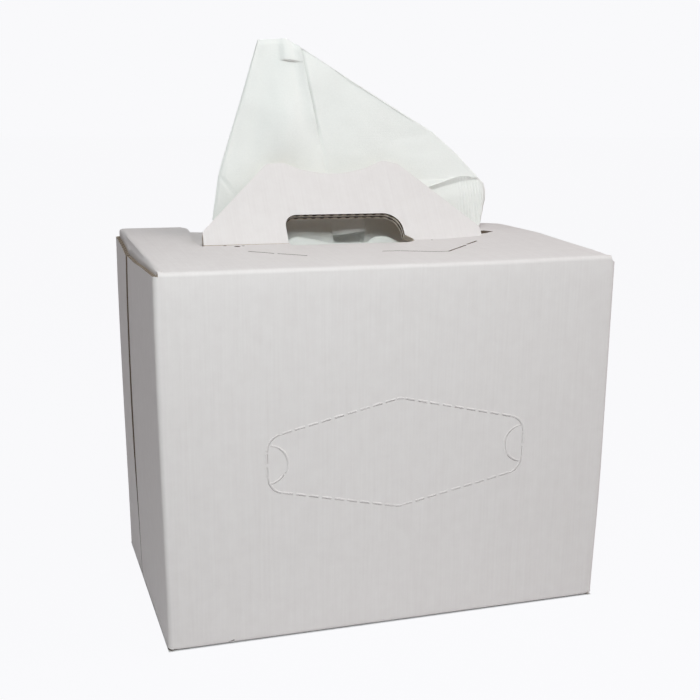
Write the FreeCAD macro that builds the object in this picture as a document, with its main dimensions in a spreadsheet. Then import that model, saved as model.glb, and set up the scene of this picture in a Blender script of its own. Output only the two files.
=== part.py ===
import FreeCAD, Part

import math
import os

import Sketcher
from FreeCAD import Placement, Rotation, Vector

# A carry-home carton of interfolded wipes: one folded blank of white corrugated board,
# the stack of wipes inside it and the wipe that has been pulled up behind the handle.
# Millimetres, +X to the right, +Y to the back, +Z up; the origin is the middle of the base.

SIZES = (
    # the carton
    ("box_width", 310.0),
    ("box_depth", 203.0),
    ("box_height", 247.5),  # at the front fold
    ("lid_rise", 6.2),  # how much higher the lid stands at the back
    ("board", 3.0),  # thickness of the corrugated board
    ("fold_radius", 4.5),  # outside of a folded edge
    ("layer_gap", 0.5),  # between the two boards of the top and of the handle
    ("edge_drop", 3.0),  # raw top edge of an end flap, below the fold beside it
    ("corner_relief", 1.0),
    ("seam_depth", 131.0),  # from the front face to the seam between the end flaps
    ("seam_gap", 1.2),
    ("dust_length", 60.0),
    ("dust_margin", 8.0),
    ("inner_margin", 10.0),  # inner top flap, in from the carton's sides and front
    # the top's wings, beside the handle
    ("wing_shoulder", 119.0),
    ("wing_foot", 111.0),
    ("wing_tip", 103.0),
    ("wing_corner", 6.0),
    ("slit", 0.8),
    ("tear_start", 109.0),
    ("tear_tip", 122.5),
    ("tear_front", 116.0),
    ("tear_back", 140.0),
    ("hole_tear", 7.0),
    # the handle
    ("handle_place", 106.0),  # its fold, along the top from the front edge
    ("handle_lean", 37.4),  # back from upright, in degrees
    ("bend_radius", 1.5),
    ("handle_width", 210.0),
    ("handle_end", 18.0),
    ("handle_rise", 66.5),
    ("peak_outer", 57.0),
    ("peak_inner", 33.0),
    ("dip_rise", 57.0),
    ("end_round", 6.0),
    ("peak_round", 11.0),
    ("dip_round", 190.0),
    ("hole_width", 88.0),
    ("hole_top", 22.0),
    ("hole_front", 10.0),  # the hand hole's reach in front of the fold
    ("hole_left_round", 9.0),
    ("hole_right_round", 16.0),
    # the line that the handle's edge has pressed into the top
    ("print_width", 1.4),
    ("print_sink", 0.5),
    ("print_setback", 8.0),
    # the perforated knock-out in the front
    ("knock_width", 180.0),
    ("knock_height", 76.0),
    ("knock_side", 37.0),
    ("knock_round", 11.0),
    ("knock_drop", 124.5),  # its centre, below the front fold
    ("cut_width", 0.8),
    ("cut_length", 5.8),
    ("nick_length", 2.8),
    ("thumb_radius", 13.0),
    # the wipes
    ("stack_clearance", 2.5),
    ("stack_headroom", 20.0),
    ("stack_round", 6.0),
    ("wipe_thickness", 1.2),
    ("wipe_setback", 27.0),  # the wipe's foot, behind the handle's fold
    ("wipe_lean", 24.0),  # how far it leans back up to the handle's top
    ("wipe_tip_lean", 2.0),  # and from there to its peak
    ("wipe_knee", 58.0),  # rise at which the lean changes
    ("wipe_peak_rise", 145.0),
    ("wipe_peak_left", -53.0),
    ("wipe_peak_right", -31.0),
    ("wipe_foot_left", -92.5),
    ("wipe_side_rise", 17.0),  # where its left edge starts to slant
    ("wipe_foot_right", 89.0),
    ("pleat_top", -21.0),  # the upright pleat's edge, at the peak and at the handle
    ("pleat_foot", -3.0),
    ("pleat_width", 16.0),
    ("shoulder", 80.0),  # where the upper edge turns down
    ("shoulder_rise", 80.0),
    ("drape", 124.0),  # the corner that hangs over the right wing
    ("drape_rise", 42.0),
    ("drape_foot", 6.0),
    ("tuck_start", 62.0),  # the lower pleat, from its end to the drape
    ("tuck_rise", 34.0),
    ("tuck_width", 8.0),
    ("wipe_round", 5.0),
)

doc = FreeCAD.newDocument("wipes_carton")
sheet = doc.addObject("Spreadsheet::Sheet", "sizes")
for row, (alias, value) in enumerate(SIZES, 1):
    sheet.set(f"A{row}", alias)
    sheet.set(f"B{row}", str(value))
    sheet.setAlias(f"B{row}", alias)
doc.recompute()


def size(alias):
    """The number in one cell of the sheet."""
    return float(getattr(sheet, alias))


def cells(text):
    """An expression in which every alias is looked up in the sheet."""
    words = text
    for alias, _ in sorted(SIZES, key=lambda item: -len(item[0])):
        words = words.replace(f"${alias}", f"sizes.{alias}")
    return words


def bind(thing, **expressions):
    """Ties properties to the sheet; a double underscore stands for a dot."""
    for name, text in expressions.items():
        thing.setExpression(name.replace("__", "."), cells(text))


def slab(name, corner, extent):
    """A flat board: its lowest corner and its length, width and height, as expressions."""
    board = doc.addObject("Part::Box", name)
    bind(board, Length=extent[0], Width=extent[1], Height=extent[2])
    bind(board, Placement__Base__x=corner[0], Placement__Base__y=corner[1], Placement__Base__z=corner[2])
    return board


def sector(name, radius, angle, length):
    """A solid sector of a round bar, about its own Z axis from its own X axis."""
    bar = doc.addObject("Part::Cylinder", name)
    bind(bar, Radius=radius, Angle=angle, Height=length)
    return bar


def fold(name, centre, turn, angle, length, outside="$fold_radius", inside="$fold_radius - $board"):
    """One folded edge of the board: a sector of a ring, placed by its centre and its turn."""
    ring = doc.addObject("Part::Cut", name)
    ring.Base = sector(f"{name}_outside", outside, angle, length)
    ring.Tool = sector(f"{name}_inside", inside, angle, length)
    ring.Placement = Placement(Vector(), turn)
    bind(ring, Placement__Base__x=centre[0], Placement__Base__y=centre[1], Placement__Base__z=centre[2])
    return ring


def joined(name, parts):
    """One shape from several."""
    union = doc.addObject("Part::MultiFuse", name)
    union.Shapes = parts
    return union


DRAFT = 50.0  # any size will do: the sheet moves a new sketch's corners to their places


def outline(body, name, corners):
    """A closed sketch of straight lines whose corners are pairs of expressions."""
    sketch = body.newObject("Sketcher::SketchObject", name)
    plane = next(f for f in body.Origin.OriginFeatures if f.Role == "XY_Plane")
    sketch.AttachmentSupport = (plane, [""])
    sketch.MapMode = "FlatFace"
    count = len(corners)
    turns = [math.tau * i / count for i in range(count)]
    ring = [Vector(DRAFT * math.cos(turn), DRAFT * math.sin(turn), 0) for turn in turns]
    for i in range(count):
        sketch.addGeometry(Part.LineSegment(ring[i], ring[(i + 1) % count]), False)
    for i in range(count):
        sketch.addConstraint(Sketcher.Constraint("Coincident", i, 2, (i + 1) % count, 1))
    for i, (across, along) in enumerate(corners):
        x = sketch.addConstraint(Sketcher.Constraint("DistanceX", -1, 1, i, 1, ring[i].x))
        y = sketch.addConstraint(Sketcher.Constraint("DistanceY", -1, 1, i, 1, ring[i].y))
        sketch.setExpression(f"Constraints[{x}]", cells(across))
        sketch.setExpression(f"Constraints[{y}]", cells(along))
    return sketch


def plate(name, corners, low, thickness, rounds=()):
    """A board cut to an outline, from height low upwards, with some of its corners rounded."""
    body = doc.addObject("PartDesign::Body", name)
    sketch = outline(body, f"{name}_outline", corners)
    bind(sketch, AttachmentOffset__Base__z=low)
    tip = body.newObject("PartDesign::Pad", f"{name}_pad")
    tip.Profile = sketch
    bind(tip, Length=thickness)
    for number, (radius, wanted) in enumerate(rounds):
        doc.recompute()
        marks = [sketch.Geometry[i].StartPoint for i in wanted]
        edges = []
        for index, edge in enumerate(tip.Shape.Edges, 1):
            ends = [vertex.Point for vertex in edge.Vertexes]
            upright = len(ends) == 2 and math.hypot(ends[0].x - ends[1].x, ends[0].y - ends[1].y) < 1e-6
            if upright and any(math.hypot(ends[0].x - m.x, ends[0].y - m.y) < 1e-4 for m in marks):
                edges.append(f"Edge{index}")
        rounded = body.newObject("PartDesign::Fillet", f"{name}_round{number}")
        rounded.Base = (tip, edges)
        bind(rounded, Radius=radius)
        tip = rounded
    body.Tip = tip
    return body


def mirrored(half):
    """An outline that is symmetric about X = 0, from the corners of its right half, front to back."""
    return [*half, *((f"-({x})", y) for x, y in reversed(half))]


X, Y, Z = Vector(1, 0, 0), Vector(0, 1, 0), Vector(0, 0, 1)


def facing(start, axis):
    """The turn that carries a sector's own X axis to start and its own Z axis to axis."""
    return Rotation(start, axis.cross(start), axis, "ZXY")


# ---- the frame of the top: along it from the front edge, and square to it -----------------

TOP_SLOPE = "atan($lid_rise / $box_depth)"
slope = math.degrees(math.atan(size("lid_rise") / size("box_depth")))
top_turn = Rotation(X, slope)
top_normal = top_turn.multVec(Z)


def on_top(thing):
    """Lays a thing made in the top's own plane on the carton."""
    thing.Placement = Placement(Vector(), Rotation(X, slope))
    bind(thing, Placement__Rotation__Angle=TOP_SLOPE)
    bind(thing, Placement__Base__y="-$box_depth / 2", Placement__Base__z="$box_height")
    return thing


# ---- walls, bottom and end flaps ----------------------------------------------------------

HALF_W, HALF_D = "$box_width / 2", "$box_depth / 2"
FLAT_W = "($box_width - 2 * $fold_radius)"  # between the upright folds
BASE_W = "($box_width - 2 * $board - 2 * $fold_radius)"  # between the dust flaps' folds
BACK_FOLD_Z = (  # centre of the fold between the back wall and the inner top flap
    "($box_height + (($box_depth - $fold_radius) * sin(" + TOP_SLOPE + ")"
    " - $board - $layer_gap - $fold_radius) / cos(" + TOP_SLOPE + "))"
)
FRONT_FOLD_Z = f"($box_height - $fold_radius * (1 - sin({TOP_SLOPE})) / cos({TOP_SLOPE}))"
FRONT_EDGE_Z = "($box_height - $edge_drop)"
BACK_EDGE_Z = f"({BACK_FOLD_Z} + $fold_radius - $edge_drop)"

parts = [
    slab("front_wall", (f"-{FLAT_W} / 2", f"-{HALF_D}", "$fold_radius"),
         (FLAT_W, "$board", f"{FRONT_FOLD_Z} - $fold_radius")),
    slab("back_wall", (f"-{FLAT_W} / 2", f"{HALF_D} - $board", "$fold_radius"),
         (FLAT_W, "$board", f"{BACK_FOLD_Z} - $fold_radius")),
    slab("base", (f"-{BASE_W} / 2", f"-{HALF_D} + $fold_radius", "0"),
         (BASE_W, "$box_depth - 2 * $fold_radius", "$board")),
    fold("base_front_fold", (f"-{FLAT_W} / 2", f"-{HALF_D} + $fold_radius", "$fold_radius"),
         facing(-Y, X), "90", FLAT_W),
    fold("base_back_fold", (f"-{FLAT_W} / 2", f"{HALF_D} - $fold_radius", "$fold_radius"),
         facing(-Z, X), "90", FLAT_W),
    fold("top_front_fold", (f"-{BASE_W} / 2", f"-{HALF_D} + $fold_radius", FRONT_FOLD_Z),
         facing(top_normal, X), f"90 deg - {TOP_SLOPE}", BASE_W),
    fold("top_back_fold", (f"-{HALF_W} + $inner_margin", f"{HALF_D} - $fold_radius", BACK_FOLD_Z),
         facing(Y, X), f"90 deg + {TOP_SLOPE}", "$box_width - 2 * $inner_margin"),
]

for side, sign in (("left", "-"), ("right", "")):
    outer_x = f"-{HALF_W}" if side == "left" else f"{HALF_W} - $board"
    inner_x = f"-{HALF_W} + $board" if side == "left" else f"{HALF_W} - 2 * $board"
    fold_x = f"{sign}({HALF_W} - $fold_radius)"
    dust_x = f"{sign}({HALF_W} - $board - $fold_radius)"
    parts += [
        fold(f"front_{side}_fold", (fold_x, f"-{HALF_D} + $fold_radius", "$corner_relief"),
             facing(-X if side == "left" else -Y, Z), "90", f"{FRONT_EDGE_Z} - $corner_relief"),
        fold(f"back_{side}_fold", (fold_x, f"{HALF_D} - $fold_radius", "$corner_relief"),
             facing(Y if side == "left" else X, Z), "90", f"{BACK_EDGE_Z} - $corner_relief"),
        slab(f"{side}_front_flap", (outer_x, f"-{HALF_D} + $fold_radius", "0"),
             ("$board", "$seam_depth - $seam_gap / 2 - $fold_radius", FRONT_EDGE_Z)),
        slab(f"{side}_back_flap", (outer_x, f"-{HALF_D} + $seam_depth + $seam_gap / 2", "0"),
             ("$board", "$box_depth - $seam_depth - $seam_gap / 2 - $fold_radius", BACK_EDGE_Z)),
        fold(f"base_{side}_fold", (dust_x, f"-{HALF_D} + $dust_margin", "$fold_radius"),
             facing(-Z if side == "left" else X, Y), "90", "$box_depth - 2 * $dust_margin"),
        slab(f"base_{side}_dust_flap", (inner_x, f"-{HALF_D} + $dust_margin", "$fold_radius"),
             ("$board", "$box_depth - 2 * $dust_margin", "$dust_length")),
    ]

# ---- the top, made in its own plane: X across, Y along it from the front edge --------------

TOP_START = f"($fold_radius * (1 - sin({TOP_SLOPE})) / cos({TOP_SLOPE}))"
TOP_END = f"($box_depth / cos({TOP_SLOPE}) - $slit)"
INNER_END = (
    f"(($box_depth - $fold_radius) * cos({TOP_SLOPE}) + ({BACK_FOLD_Z} - $box_height) * sin({TOP_SLOPE}))"
)
HINGE_IN, HINGE_OUT = "$hole_width / 2", "$handle_width / 2"
OUTER_LOW, INNER_LOW = "-$board", "-2 * $board - $layer_gap"
BEND = f"(90 deg - $handle_lean * 1 deg - {TOP_SLOPE})"
BEND_RUN = f"(($bend_radius + 1.5 * $board + $layer_gap) * {BEND} / 180 deg * pi)"


def handle_half(start):
    """The right half of the handle's outline, from its fold to the middle of its dip."""
    return [
        (HINGE_OUT, start),
        (HINGE_OUT, f"{start} + $handle_end"),
        ("$peak_outer", f"{start} + $handle_rise"),
        ("$peak_inner", f"{start} + $handle_rise"),
    ]


def handle_outline(start):
    """The whole outline of the handle, symmetric about its dip."""
    half = handle_half(start)
    dip = ("0", f"{start} + $dip_rise")
    return [*half, dip, *((f"-({x})", y) for x, y in reversed(half))]


def handle_rounds():
    """The handle's round corners: each radius, with the corners of its outline that take it."""
    return (("$end_round", (1, 7)), ("$peak_round", (2, 3, 5, 6)), ("$dip_round", (4,)))


outer_top = plate(
    "outer_top",
    mirrored([
        (f"{BASE_W} / 2", TOP_START),
        (f"{BASE_W} / 2", TOP_END),
        ("$wing_tip", TOP_END),
        ("$wing_foot", "$wing_shoulder"),
        (f"{HINGE_OUT} + $slit", "$wing_shoulder"),
        (f"{HINGE_OUT} + $slit", "$handle_place"),
    ]),
    OUTER_LOW, "$board", [("$wing_corner", (2, 9))],
)
inner_top = plate(
    "inner_top",
    mirrored([
        (f"{HALF_W} - $inner_margin", "$inner_margin"),
        (f"{HALF_W} - $inner_margin", INNER_END),
    ]),
    INNER_LOW, "$board",
)
window = plate(
    "window", handle_outline(f"($handle_place + {BEND_RUN})"),
    f"{INNER_LOW} - $board", "2 * $board + $layer_gap", handle_rounds(),
)
window_front = slab(
    "window_front", (f"-{HINGE_OUT}", "$handle_place", f"{INNER_LOW} - $board"),
    ("$handle_width", f"{BEND_RUN} + $handle_end / 2", "2 * $board + $layer_gap"),
)
top_parts = [outer_top]
for side, sign in (("left", "-"), ("right", "")):
    near_x = f"-{HINGE_OUT}" if side == "left" else HINGE_IN
    hinge = f"({HINGE_OUT} - {HINGE_IN})"
    dust_x = f"-{HALF_W} + $board" if side == "left" else f"{HALF_W} - 2 * $board"
    top_parts += [
        fold(f"outer_bend_{side}", (near_x, "$handle_place", "$bend_radius"), facing(-Z, X), BEND, hinge,
             "$bend_radius + $board", "$bend_radius"),
        fold(f"inner_bend_{side}", (near_x, "$handle_place", "$bend_radius"), facing(-Z, X), BEND, hinge,
             "$bend_radius + 2 * $board + $layer_gap", "$bend_radius + $board + $layer_gap"),
        fold(f"top_{side}_fold", (f"{sign}({BASE_W} / 2)", "$dust_margin", "-$fold_radius"),
             facing(-X if side == "left" else Z, Y), "90", "$box_depth - 2 * $dust_margin"),
        slab(f"top_{side}_dust_flap", (dust_x, "$dust_margin", "-$fold_radius - $dust_length"),
             ("$board", "$box_depth - 2 * $dust_margin", "$dust_length")),
    ]

inner_panel = doc.addObject("Part::Cut", "inner_panel")
inner_panel.Base = inner_top
inner_panel.Tool = joined("window_whole", [window, window_front])
top_parts.append(inner_panel)

# ---- the two boards of the handle, in a plane turned up about their fold -------------------

FRONT_PLY_LOW = "-$bend_radius - $board"
BACK_PLY_LOW = "-$bend_radius - 2 * $board - $layer_gap"
plies = [
    plate("front_ply", handle_outline("0"), FRONT_PLY_LOW, "$board", handle_rounds()),
    plate("back_ply", handle_outline("0"), BACK_PLY_LOW, "$board", handle_rounds()),
]
hand_hole = plate(
    "hand_hole",
    [
        (f"-{HINGE_IN}", "-2 * $board"),
        (HINGE_IN, "-2 * $board"),
        (HINGE_IN, "$hole_top"),
        (f"-{HINGE_IN}", "$hole_top"),
    ],
    "-$bend_radius - 3 * $board", "3 * $board + $bend_radius",
    [("$hole_right_round", (2,)), ("$hole_left_round", (3,))],
)
handle = doc.addObject("Part::Cut", "handle")
handle.Base = joined("plies", plies)
handle.Tool = hand_hole
handle.Placement = Placement(Vector(), Rotation(X, 1))
bind(handle, Placement__Rotation__Angle=BEND)
bind(handle, Placement__Base__y="$handle_place", Placement__Base__z="$bend_radius")
top_parts.append(handle)

hole_in_top = plate(
    "hole_in_top",
    [
        (f"-{HINGE_IN}", "$handle_place - $hole_front"),
        (HINGE_IN, "$handle_place - $hole_front"),
        (HINGE_IN, "$handle_place + $slit"),
        (f"-{HINGE_IN}", "$handle_place + $slit"),
    ],
    f"{INNER_LOW} - $board", "4 * $board", [("$board", (0, 1))],
)
tears = [
    plate("wing_tear", [
        ("$tear_start", "$tear_front"),
        ("$tear_tip", "($tear_front + $tear_back) / 2"),
        ("$tear_start", "$tear_back"),
    ], "-$board - $layer_gap / 2", "2 * $board"),
    plate("hole_tear", [
        (f"{HINGE_IN} - $slit", "$handle_place - $hole_front"),
        (f"{HINGE_IN} + $hole_tear", "$handle_place - $slit"),
        (f"{HINGE_IN} - $slit", "$handle_place + $slit"),
    ], "-$board - $layer_gap / 2", "2 * $board"),
]


PRINT_LINE = mirrored([
    ("$handle_width / 2 - $print_setback", "$handle_place - $handle_end"),
    ("$peak_outer - $print_setback", "$handle_place - $handle_rise + $print_setback"),
])
PRINT_LINE.insert(2, ("0", "$handle_place - $dip_rise + $print_setback"))
pressed_line = plate(
    "pressed_line", [*PRINT_LINE, *((x, f"{y} + $print_width") for x, y in reversed(PRINT_LINE))],
    "-$print_sink", "$board",
)

top = doc.addObject("Part::Cut", "top")
top.Base = joined("top_boards", top_parts)
top.Tool = joined("top_cuts", [hole_in_top, *tears, pressed_line])
on_top(top)
parts.append(top)

# ---- perforations of the knock-out and its thumb tabs --------------------------------------


def knock_path():
    """The knock-out's outline on the front face: a long hexagon with rounded corners."""
    middle = size("box_height") - size("knock_drop")
    wide, tall, side_half = size("knock_width") / 2, size("knock_height") / 2, size("knock_side") / 2
    face = -size("box_depth") / 2
    corners = [
        Vector(x, face, middle + z)
        for x, z in ((0, tall), (wide, side_half), (wide, -side_half), (0, -tall), (-wide, -side_half),
                     (-wide, side_half))
    ]
    radius, count = size("knock_round"), len(corners)
    tangents, edges = [], []
    for i, corner in enumerate(corners):
        before = (corners[i - 1] - corner).normalize()
        after = (corners[(i + 1) % count] - corner).normalize()
        half_angle = before.getAngle(after) / 2
        reach = radius / math.tan(half_angle)
        centre = corner + (before + after).normalize() * (radius / math.sin(half_angle))
        middle_point = centre + (corner - centre).normalize() * radius
        tangents.append((corner + before * reach, middle_point, corner + after * reach))
    for i, (start, middle_point, end) in enumerate(tangents):
        edges.append(Part.Arc(start, middle_point, end).toShape())
        edges.append(Part.LineSegment(end, tangents[(i + 1) % count][0]).toShape())
    return Part.Wire(edges)


def cut_at(point, along, length):
    """One knife cut through the front wall, centred on a point of its face."""
    across, width, deep = Y.cross(along), size("cut_width"), size("board") + 2 * size("slit")
    knife = Part.makeBox(length, deep, width, Vector(-length / 2, -size("slit"), -width / 2))
    knife.Placement = Placement(point, Rotation(along, Y, -across, "YXZ"))
    return knife


def thumb_cut(side):
    """The round knife cut of one thumb tab, on the inside of an end of the knock-out."""
    middle = Vector(side * size("knock_width") / 2, -size("box_depth") / 2 - size("slit"),
                    size("box_height") - size("knock_drop"))
    deep, radius, half = size("board") + 2 * size("slit"), size("thumb_radius"), size("cut_width") / 2
    outside = Part.makeCylinder(radius + half, deep, middle, Y)
    inside = Part.makeCylinder(radius - half, deep, middle, Y)
    reach = 2 * radius
    corner = middle + Vector(-reach if side > 0 else 0, 0, -reach)
    return outside.cut(inside).common(Part.makeBox(reach, deep, 2 * reach, corner))


def perforation():
    """All the knife cuts round the knock-out, evenly spaced, and the two round thumb cuts."""
    path = knock_path()
    pitch = size("cut_length") + size("nick_length")
    count = round(path.Length / pitch)
    knives, before = [], 0.0
    for edge in path.OrderedEdges:
        for i in range(count):
            place = (i + 0.5) * path.Length / count - before
            if 0 <= place < edge.Length:
                at = edge.getParameterByLength(place)
                knives.append(cut_at(edge.valueAt(at), edge.tangentAt(at), size("cut_length")))
        before += edge.Length
    return Part.makeCompound([*knives, thumb_cut(-1), thumb_cut(1)])


knives = doc.addObject("Part::Feature", "perforation")
knives.Shape = perforation()
carton = doc.addObject("Part::Cut", "carton")
carton.Label = "carton"
carton.Base = joined("folded_blank", parts)
carton.Tool = knives

# ---- the wipes -----------------------------------------------------------------------------

STACK_TOP = "$box_height - $stack_headroom"
STACK_HALF_W = f"({HALF_W} - 2 * $board - $stack_clearance)"
STACK_HALF_D = f"({HALF_D} - $board - $stack_clearance)"
stack = plate(
    "wipe_stack",
    [
        (f"-{STACK_HALF_W}", f"-{STACK_HALF_D}"),
        (STACK_HALF_W, f"-{STACK_HALF_D}"),
        (STACK_HALF_W, STACK_HALF_D),
        (f"-{STACK_HALF_W}", STACK_HALF_D),
    ],
    "$board", f"{STACK_TOP} - $board", [("$stack_round", (0, 1, 2, 3))],
)


FOOT = "-$stack_headroom"
WIPE_PLACE = "($handle_place - $box_depth / 2 + $wipe_setback)"


def upright(thing, turn):
    """Stands a flat thing up, with its own second axis pointing up from the front fold's height."""
    thing.Placement = Placement(Vector(), turn)
    bind(thing, Placement__Base__z="$box_height")
    return thing


def layer(name, corners, depth, rounds=()):
    """One layer of the raised wipe: an outline seen from the front, cut from a leaning sheet."""
    through = plate(f"{name}_outline", corners, f"-{HALF_D}", "$box_depth", rounds)
    knee_y = f"{WIPE_PLACE} + {depth} + $wipe_lean"
    peak_y = f"{knee_y} + $wipe_tip_lean"
    leaning = plate(
        f"{name}_sheet",
        [
            (f"{WIPE_PLACE} + {depth}", FOOT),
            (f"{WIPE_PLACE} + {depth} + $wipe_thickness", FOOT),
            (f"{knee_y} + $wipe_thickness", "$wipe_knee"),
            (f"{peak_y} + $wipe_thickness", "$wipe_peak_rise"),
            (peak_y, "$wipe_peak_rise"),
            (knee_y, "$wipe_knee"),
        ],
        f"-{HALF_W}", "$box_width", [("$handle_rise", (2, 5))],
    )
    leaf = doc.addObject("Part::MultiCommon", name)
    leaf.Shapes = [upright(through, Rotation(X, 90)), upright(leaning, Rotation(Y, Z, X, "ZXY"))]
    return leaf


PLEAT_SPLIT = ("$pleat_foot", "$wipe_knee")
wipe = joined("pulled_wipe", [
    layer("left_leaf", [
        ("$wipe_foot_left", FOOT),
        ("$pleat_foot", FOOT),
        PLEAT_SPLIT,
        ("$pleat_top", "$wipe_peak_rise - $wipe_round"),
        ("$wipe_peak_right", "$wipe_peak_rise"),
        ("$wipe_peak_left", "$wipe_peak_rise"),
        ("$wipe_foot_left", "$wipe_side_rise"),
    ], "0", [("$wipe_round", (5,)), ("$handle_rise", (2, 6))]),
    layer("right_leaf", [
        ("$pleat_foot - $pleat_width", FOOT),
        ("$wipe_foot_right", FOOT),
        ("$wipe_foot_right", "$drape_foot"),
        ("$tuck_start", "$tuck_rise"),
        ("$drape", "$drape_rise"),
        ("$shoulder", "$shoulder_rise"),
        ("$wipe_peak_right", "$wipe_peak_rise"),
        ("$pleat_foot - $pleat_width", "$wipe_knee"),
    ], "$wipe_thickness", [("$wipe_round", (4,)), ("$handle_rise", (5,))]),
    layer("draped_corner", [
        ("$wipe_foot_right - $tuck_start / 2", "$drape_foot"),
        ("$drape", "$drape_foot"),
        ("$drape", "$drape_rise"),
        ("$tuck_start", "$tuck_rise + $tuck_width"),
    ], "2 * $wipe_thickness", [("$wipe_round", (2,))]),
])

doc.recompute()

# ---- check and write -----------------------------------------------------------------------

nodes = {"carton": carton, "wipe_stack": stack, "pulled_wipe": wipe}
for thing in doc.Objects:
    if {"Invalid", "Error"} & set(thing.State):
        raise RuntimeError(f"{thing.Name} failed: {thing.State}")
for name, thing in nodes.items():
    if thing.Shape.isNull() or not thing.Shape.isValid() or len(thing.Shape.Solids) != 1:
        raise RuntimeError(f"{name} isn't one valid solid")
os.makedirs("parts", exist_ok=True)
for name, thing in nodes.items():
    thing.Shape.exportStep(f"parts/{name}.step")
    box = thing.Shape.BoundBox
    print(f"{name}: {thing.Shape.Volume:.0f} mm3, X {box.XMin:.1f} {box.XMax:.1f},"
          f" Y {box.YMin:.1f} {box.YMax:.1f}, Z {box.ZMin:.1f} {box.ZMax:.1f}")
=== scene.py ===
import sys

import logging
import math
from collections.abc import Callable, Sequence
from dataclasses import dataclass, field
from enum import Enum

import bmesh
import bpy
from mathutils import Matrix, Vector, noise


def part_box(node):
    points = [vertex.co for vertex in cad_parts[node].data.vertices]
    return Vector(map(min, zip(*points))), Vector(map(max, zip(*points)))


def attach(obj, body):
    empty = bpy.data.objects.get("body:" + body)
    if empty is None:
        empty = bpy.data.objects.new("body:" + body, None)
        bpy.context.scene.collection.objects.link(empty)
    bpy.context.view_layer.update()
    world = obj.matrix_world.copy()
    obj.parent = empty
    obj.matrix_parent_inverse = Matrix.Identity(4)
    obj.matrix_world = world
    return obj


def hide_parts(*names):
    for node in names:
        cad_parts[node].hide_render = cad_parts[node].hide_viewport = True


# A carry-home carton of interfolded wipes: the blank of white-faced corrugated board is folded
# up from one sheet, its raw edges show the fluting, and one wipe stands up behind the handle.
# Pieces are shaped on the bench in millimetres and delivered to the frame in metres.

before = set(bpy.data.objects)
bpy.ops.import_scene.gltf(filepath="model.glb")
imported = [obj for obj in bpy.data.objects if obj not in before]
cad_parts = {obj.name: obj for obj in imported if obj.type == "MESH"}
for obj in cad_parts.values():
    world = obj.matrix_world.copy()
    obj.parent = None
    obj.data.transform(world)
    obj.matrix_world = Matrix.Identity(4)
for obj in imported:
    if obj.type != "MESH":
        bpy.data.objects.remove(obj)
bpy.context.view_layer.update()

log = logging.getLogger("wipes_carton")

METRES = 0.001  # one millimetre
EPS = 0.02  # millimetres: two places nearer than this are one
REACH = 20 * EPS  # past a line, for a pick that takes the line in
KNIFE_BASE = 0.3  # how far a knife stands out of the face that it cuts
X, Y, Z = Vector((1, 0, 0)), Vector((0, 1, 0)), Vector((0, 0, 1))

Points = list[Vector]
Mark = tuple[float, float]
Finishes = Sequence[bpy.types.Material]


# ---- the bench ------------------------------------------------------------------------------


class Pick(Enum):
    """What an operator is to act on."""

    EDGES = "EDGE"
    FACES = "FACE"


class Side(Enum):
    """An end of the carton, with its sign along X."""

    LEFT = -1
    RIGHT = 1


class Part(Enum):
    """The order of the material slots on a board."""

    FACE = 0
    INSIDE = 1
    RAW_EDGE = 2
    # the fluting's kraft, made darker with painted shade: of the flute holes, and in the cuts, tears, gaps
    # and seam that take it
    FLUTING = 3
    CRUSHED = 4


def smooth(low: float, high: float, value: float) -> float:
    """A soft step from 0 at low to 1 at high."""
    t = min(max((value - low) / (high - low), 0.0), 1.0)
    return t * t * (3 - 2 * t)


def between(table: Sequence[Mark], x: float) -> float:
    """The value at x, straight from mark to mark of a table, level beyond its ends."""
    if x <= table[0][0]:
        return table[0][1]
    for (x0, y0), (x1, y1) in zip(table, table[1:]):
        if x <= x1:
            return y0 + (y1 - y0) * (x - x0) / (x1 - x0)
    return table[-1][1]


def deselect_all() -> None:
    """Leaves nothing selected, because an operator acts on all that is."""
    if bpy.context.object and bpy.context.object.mode != "OBJECT":
        bpy.ops.object.mode_set(mode="OBJECT")
    bpy.ops.object.select_all(action="DESELECT")


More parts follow.
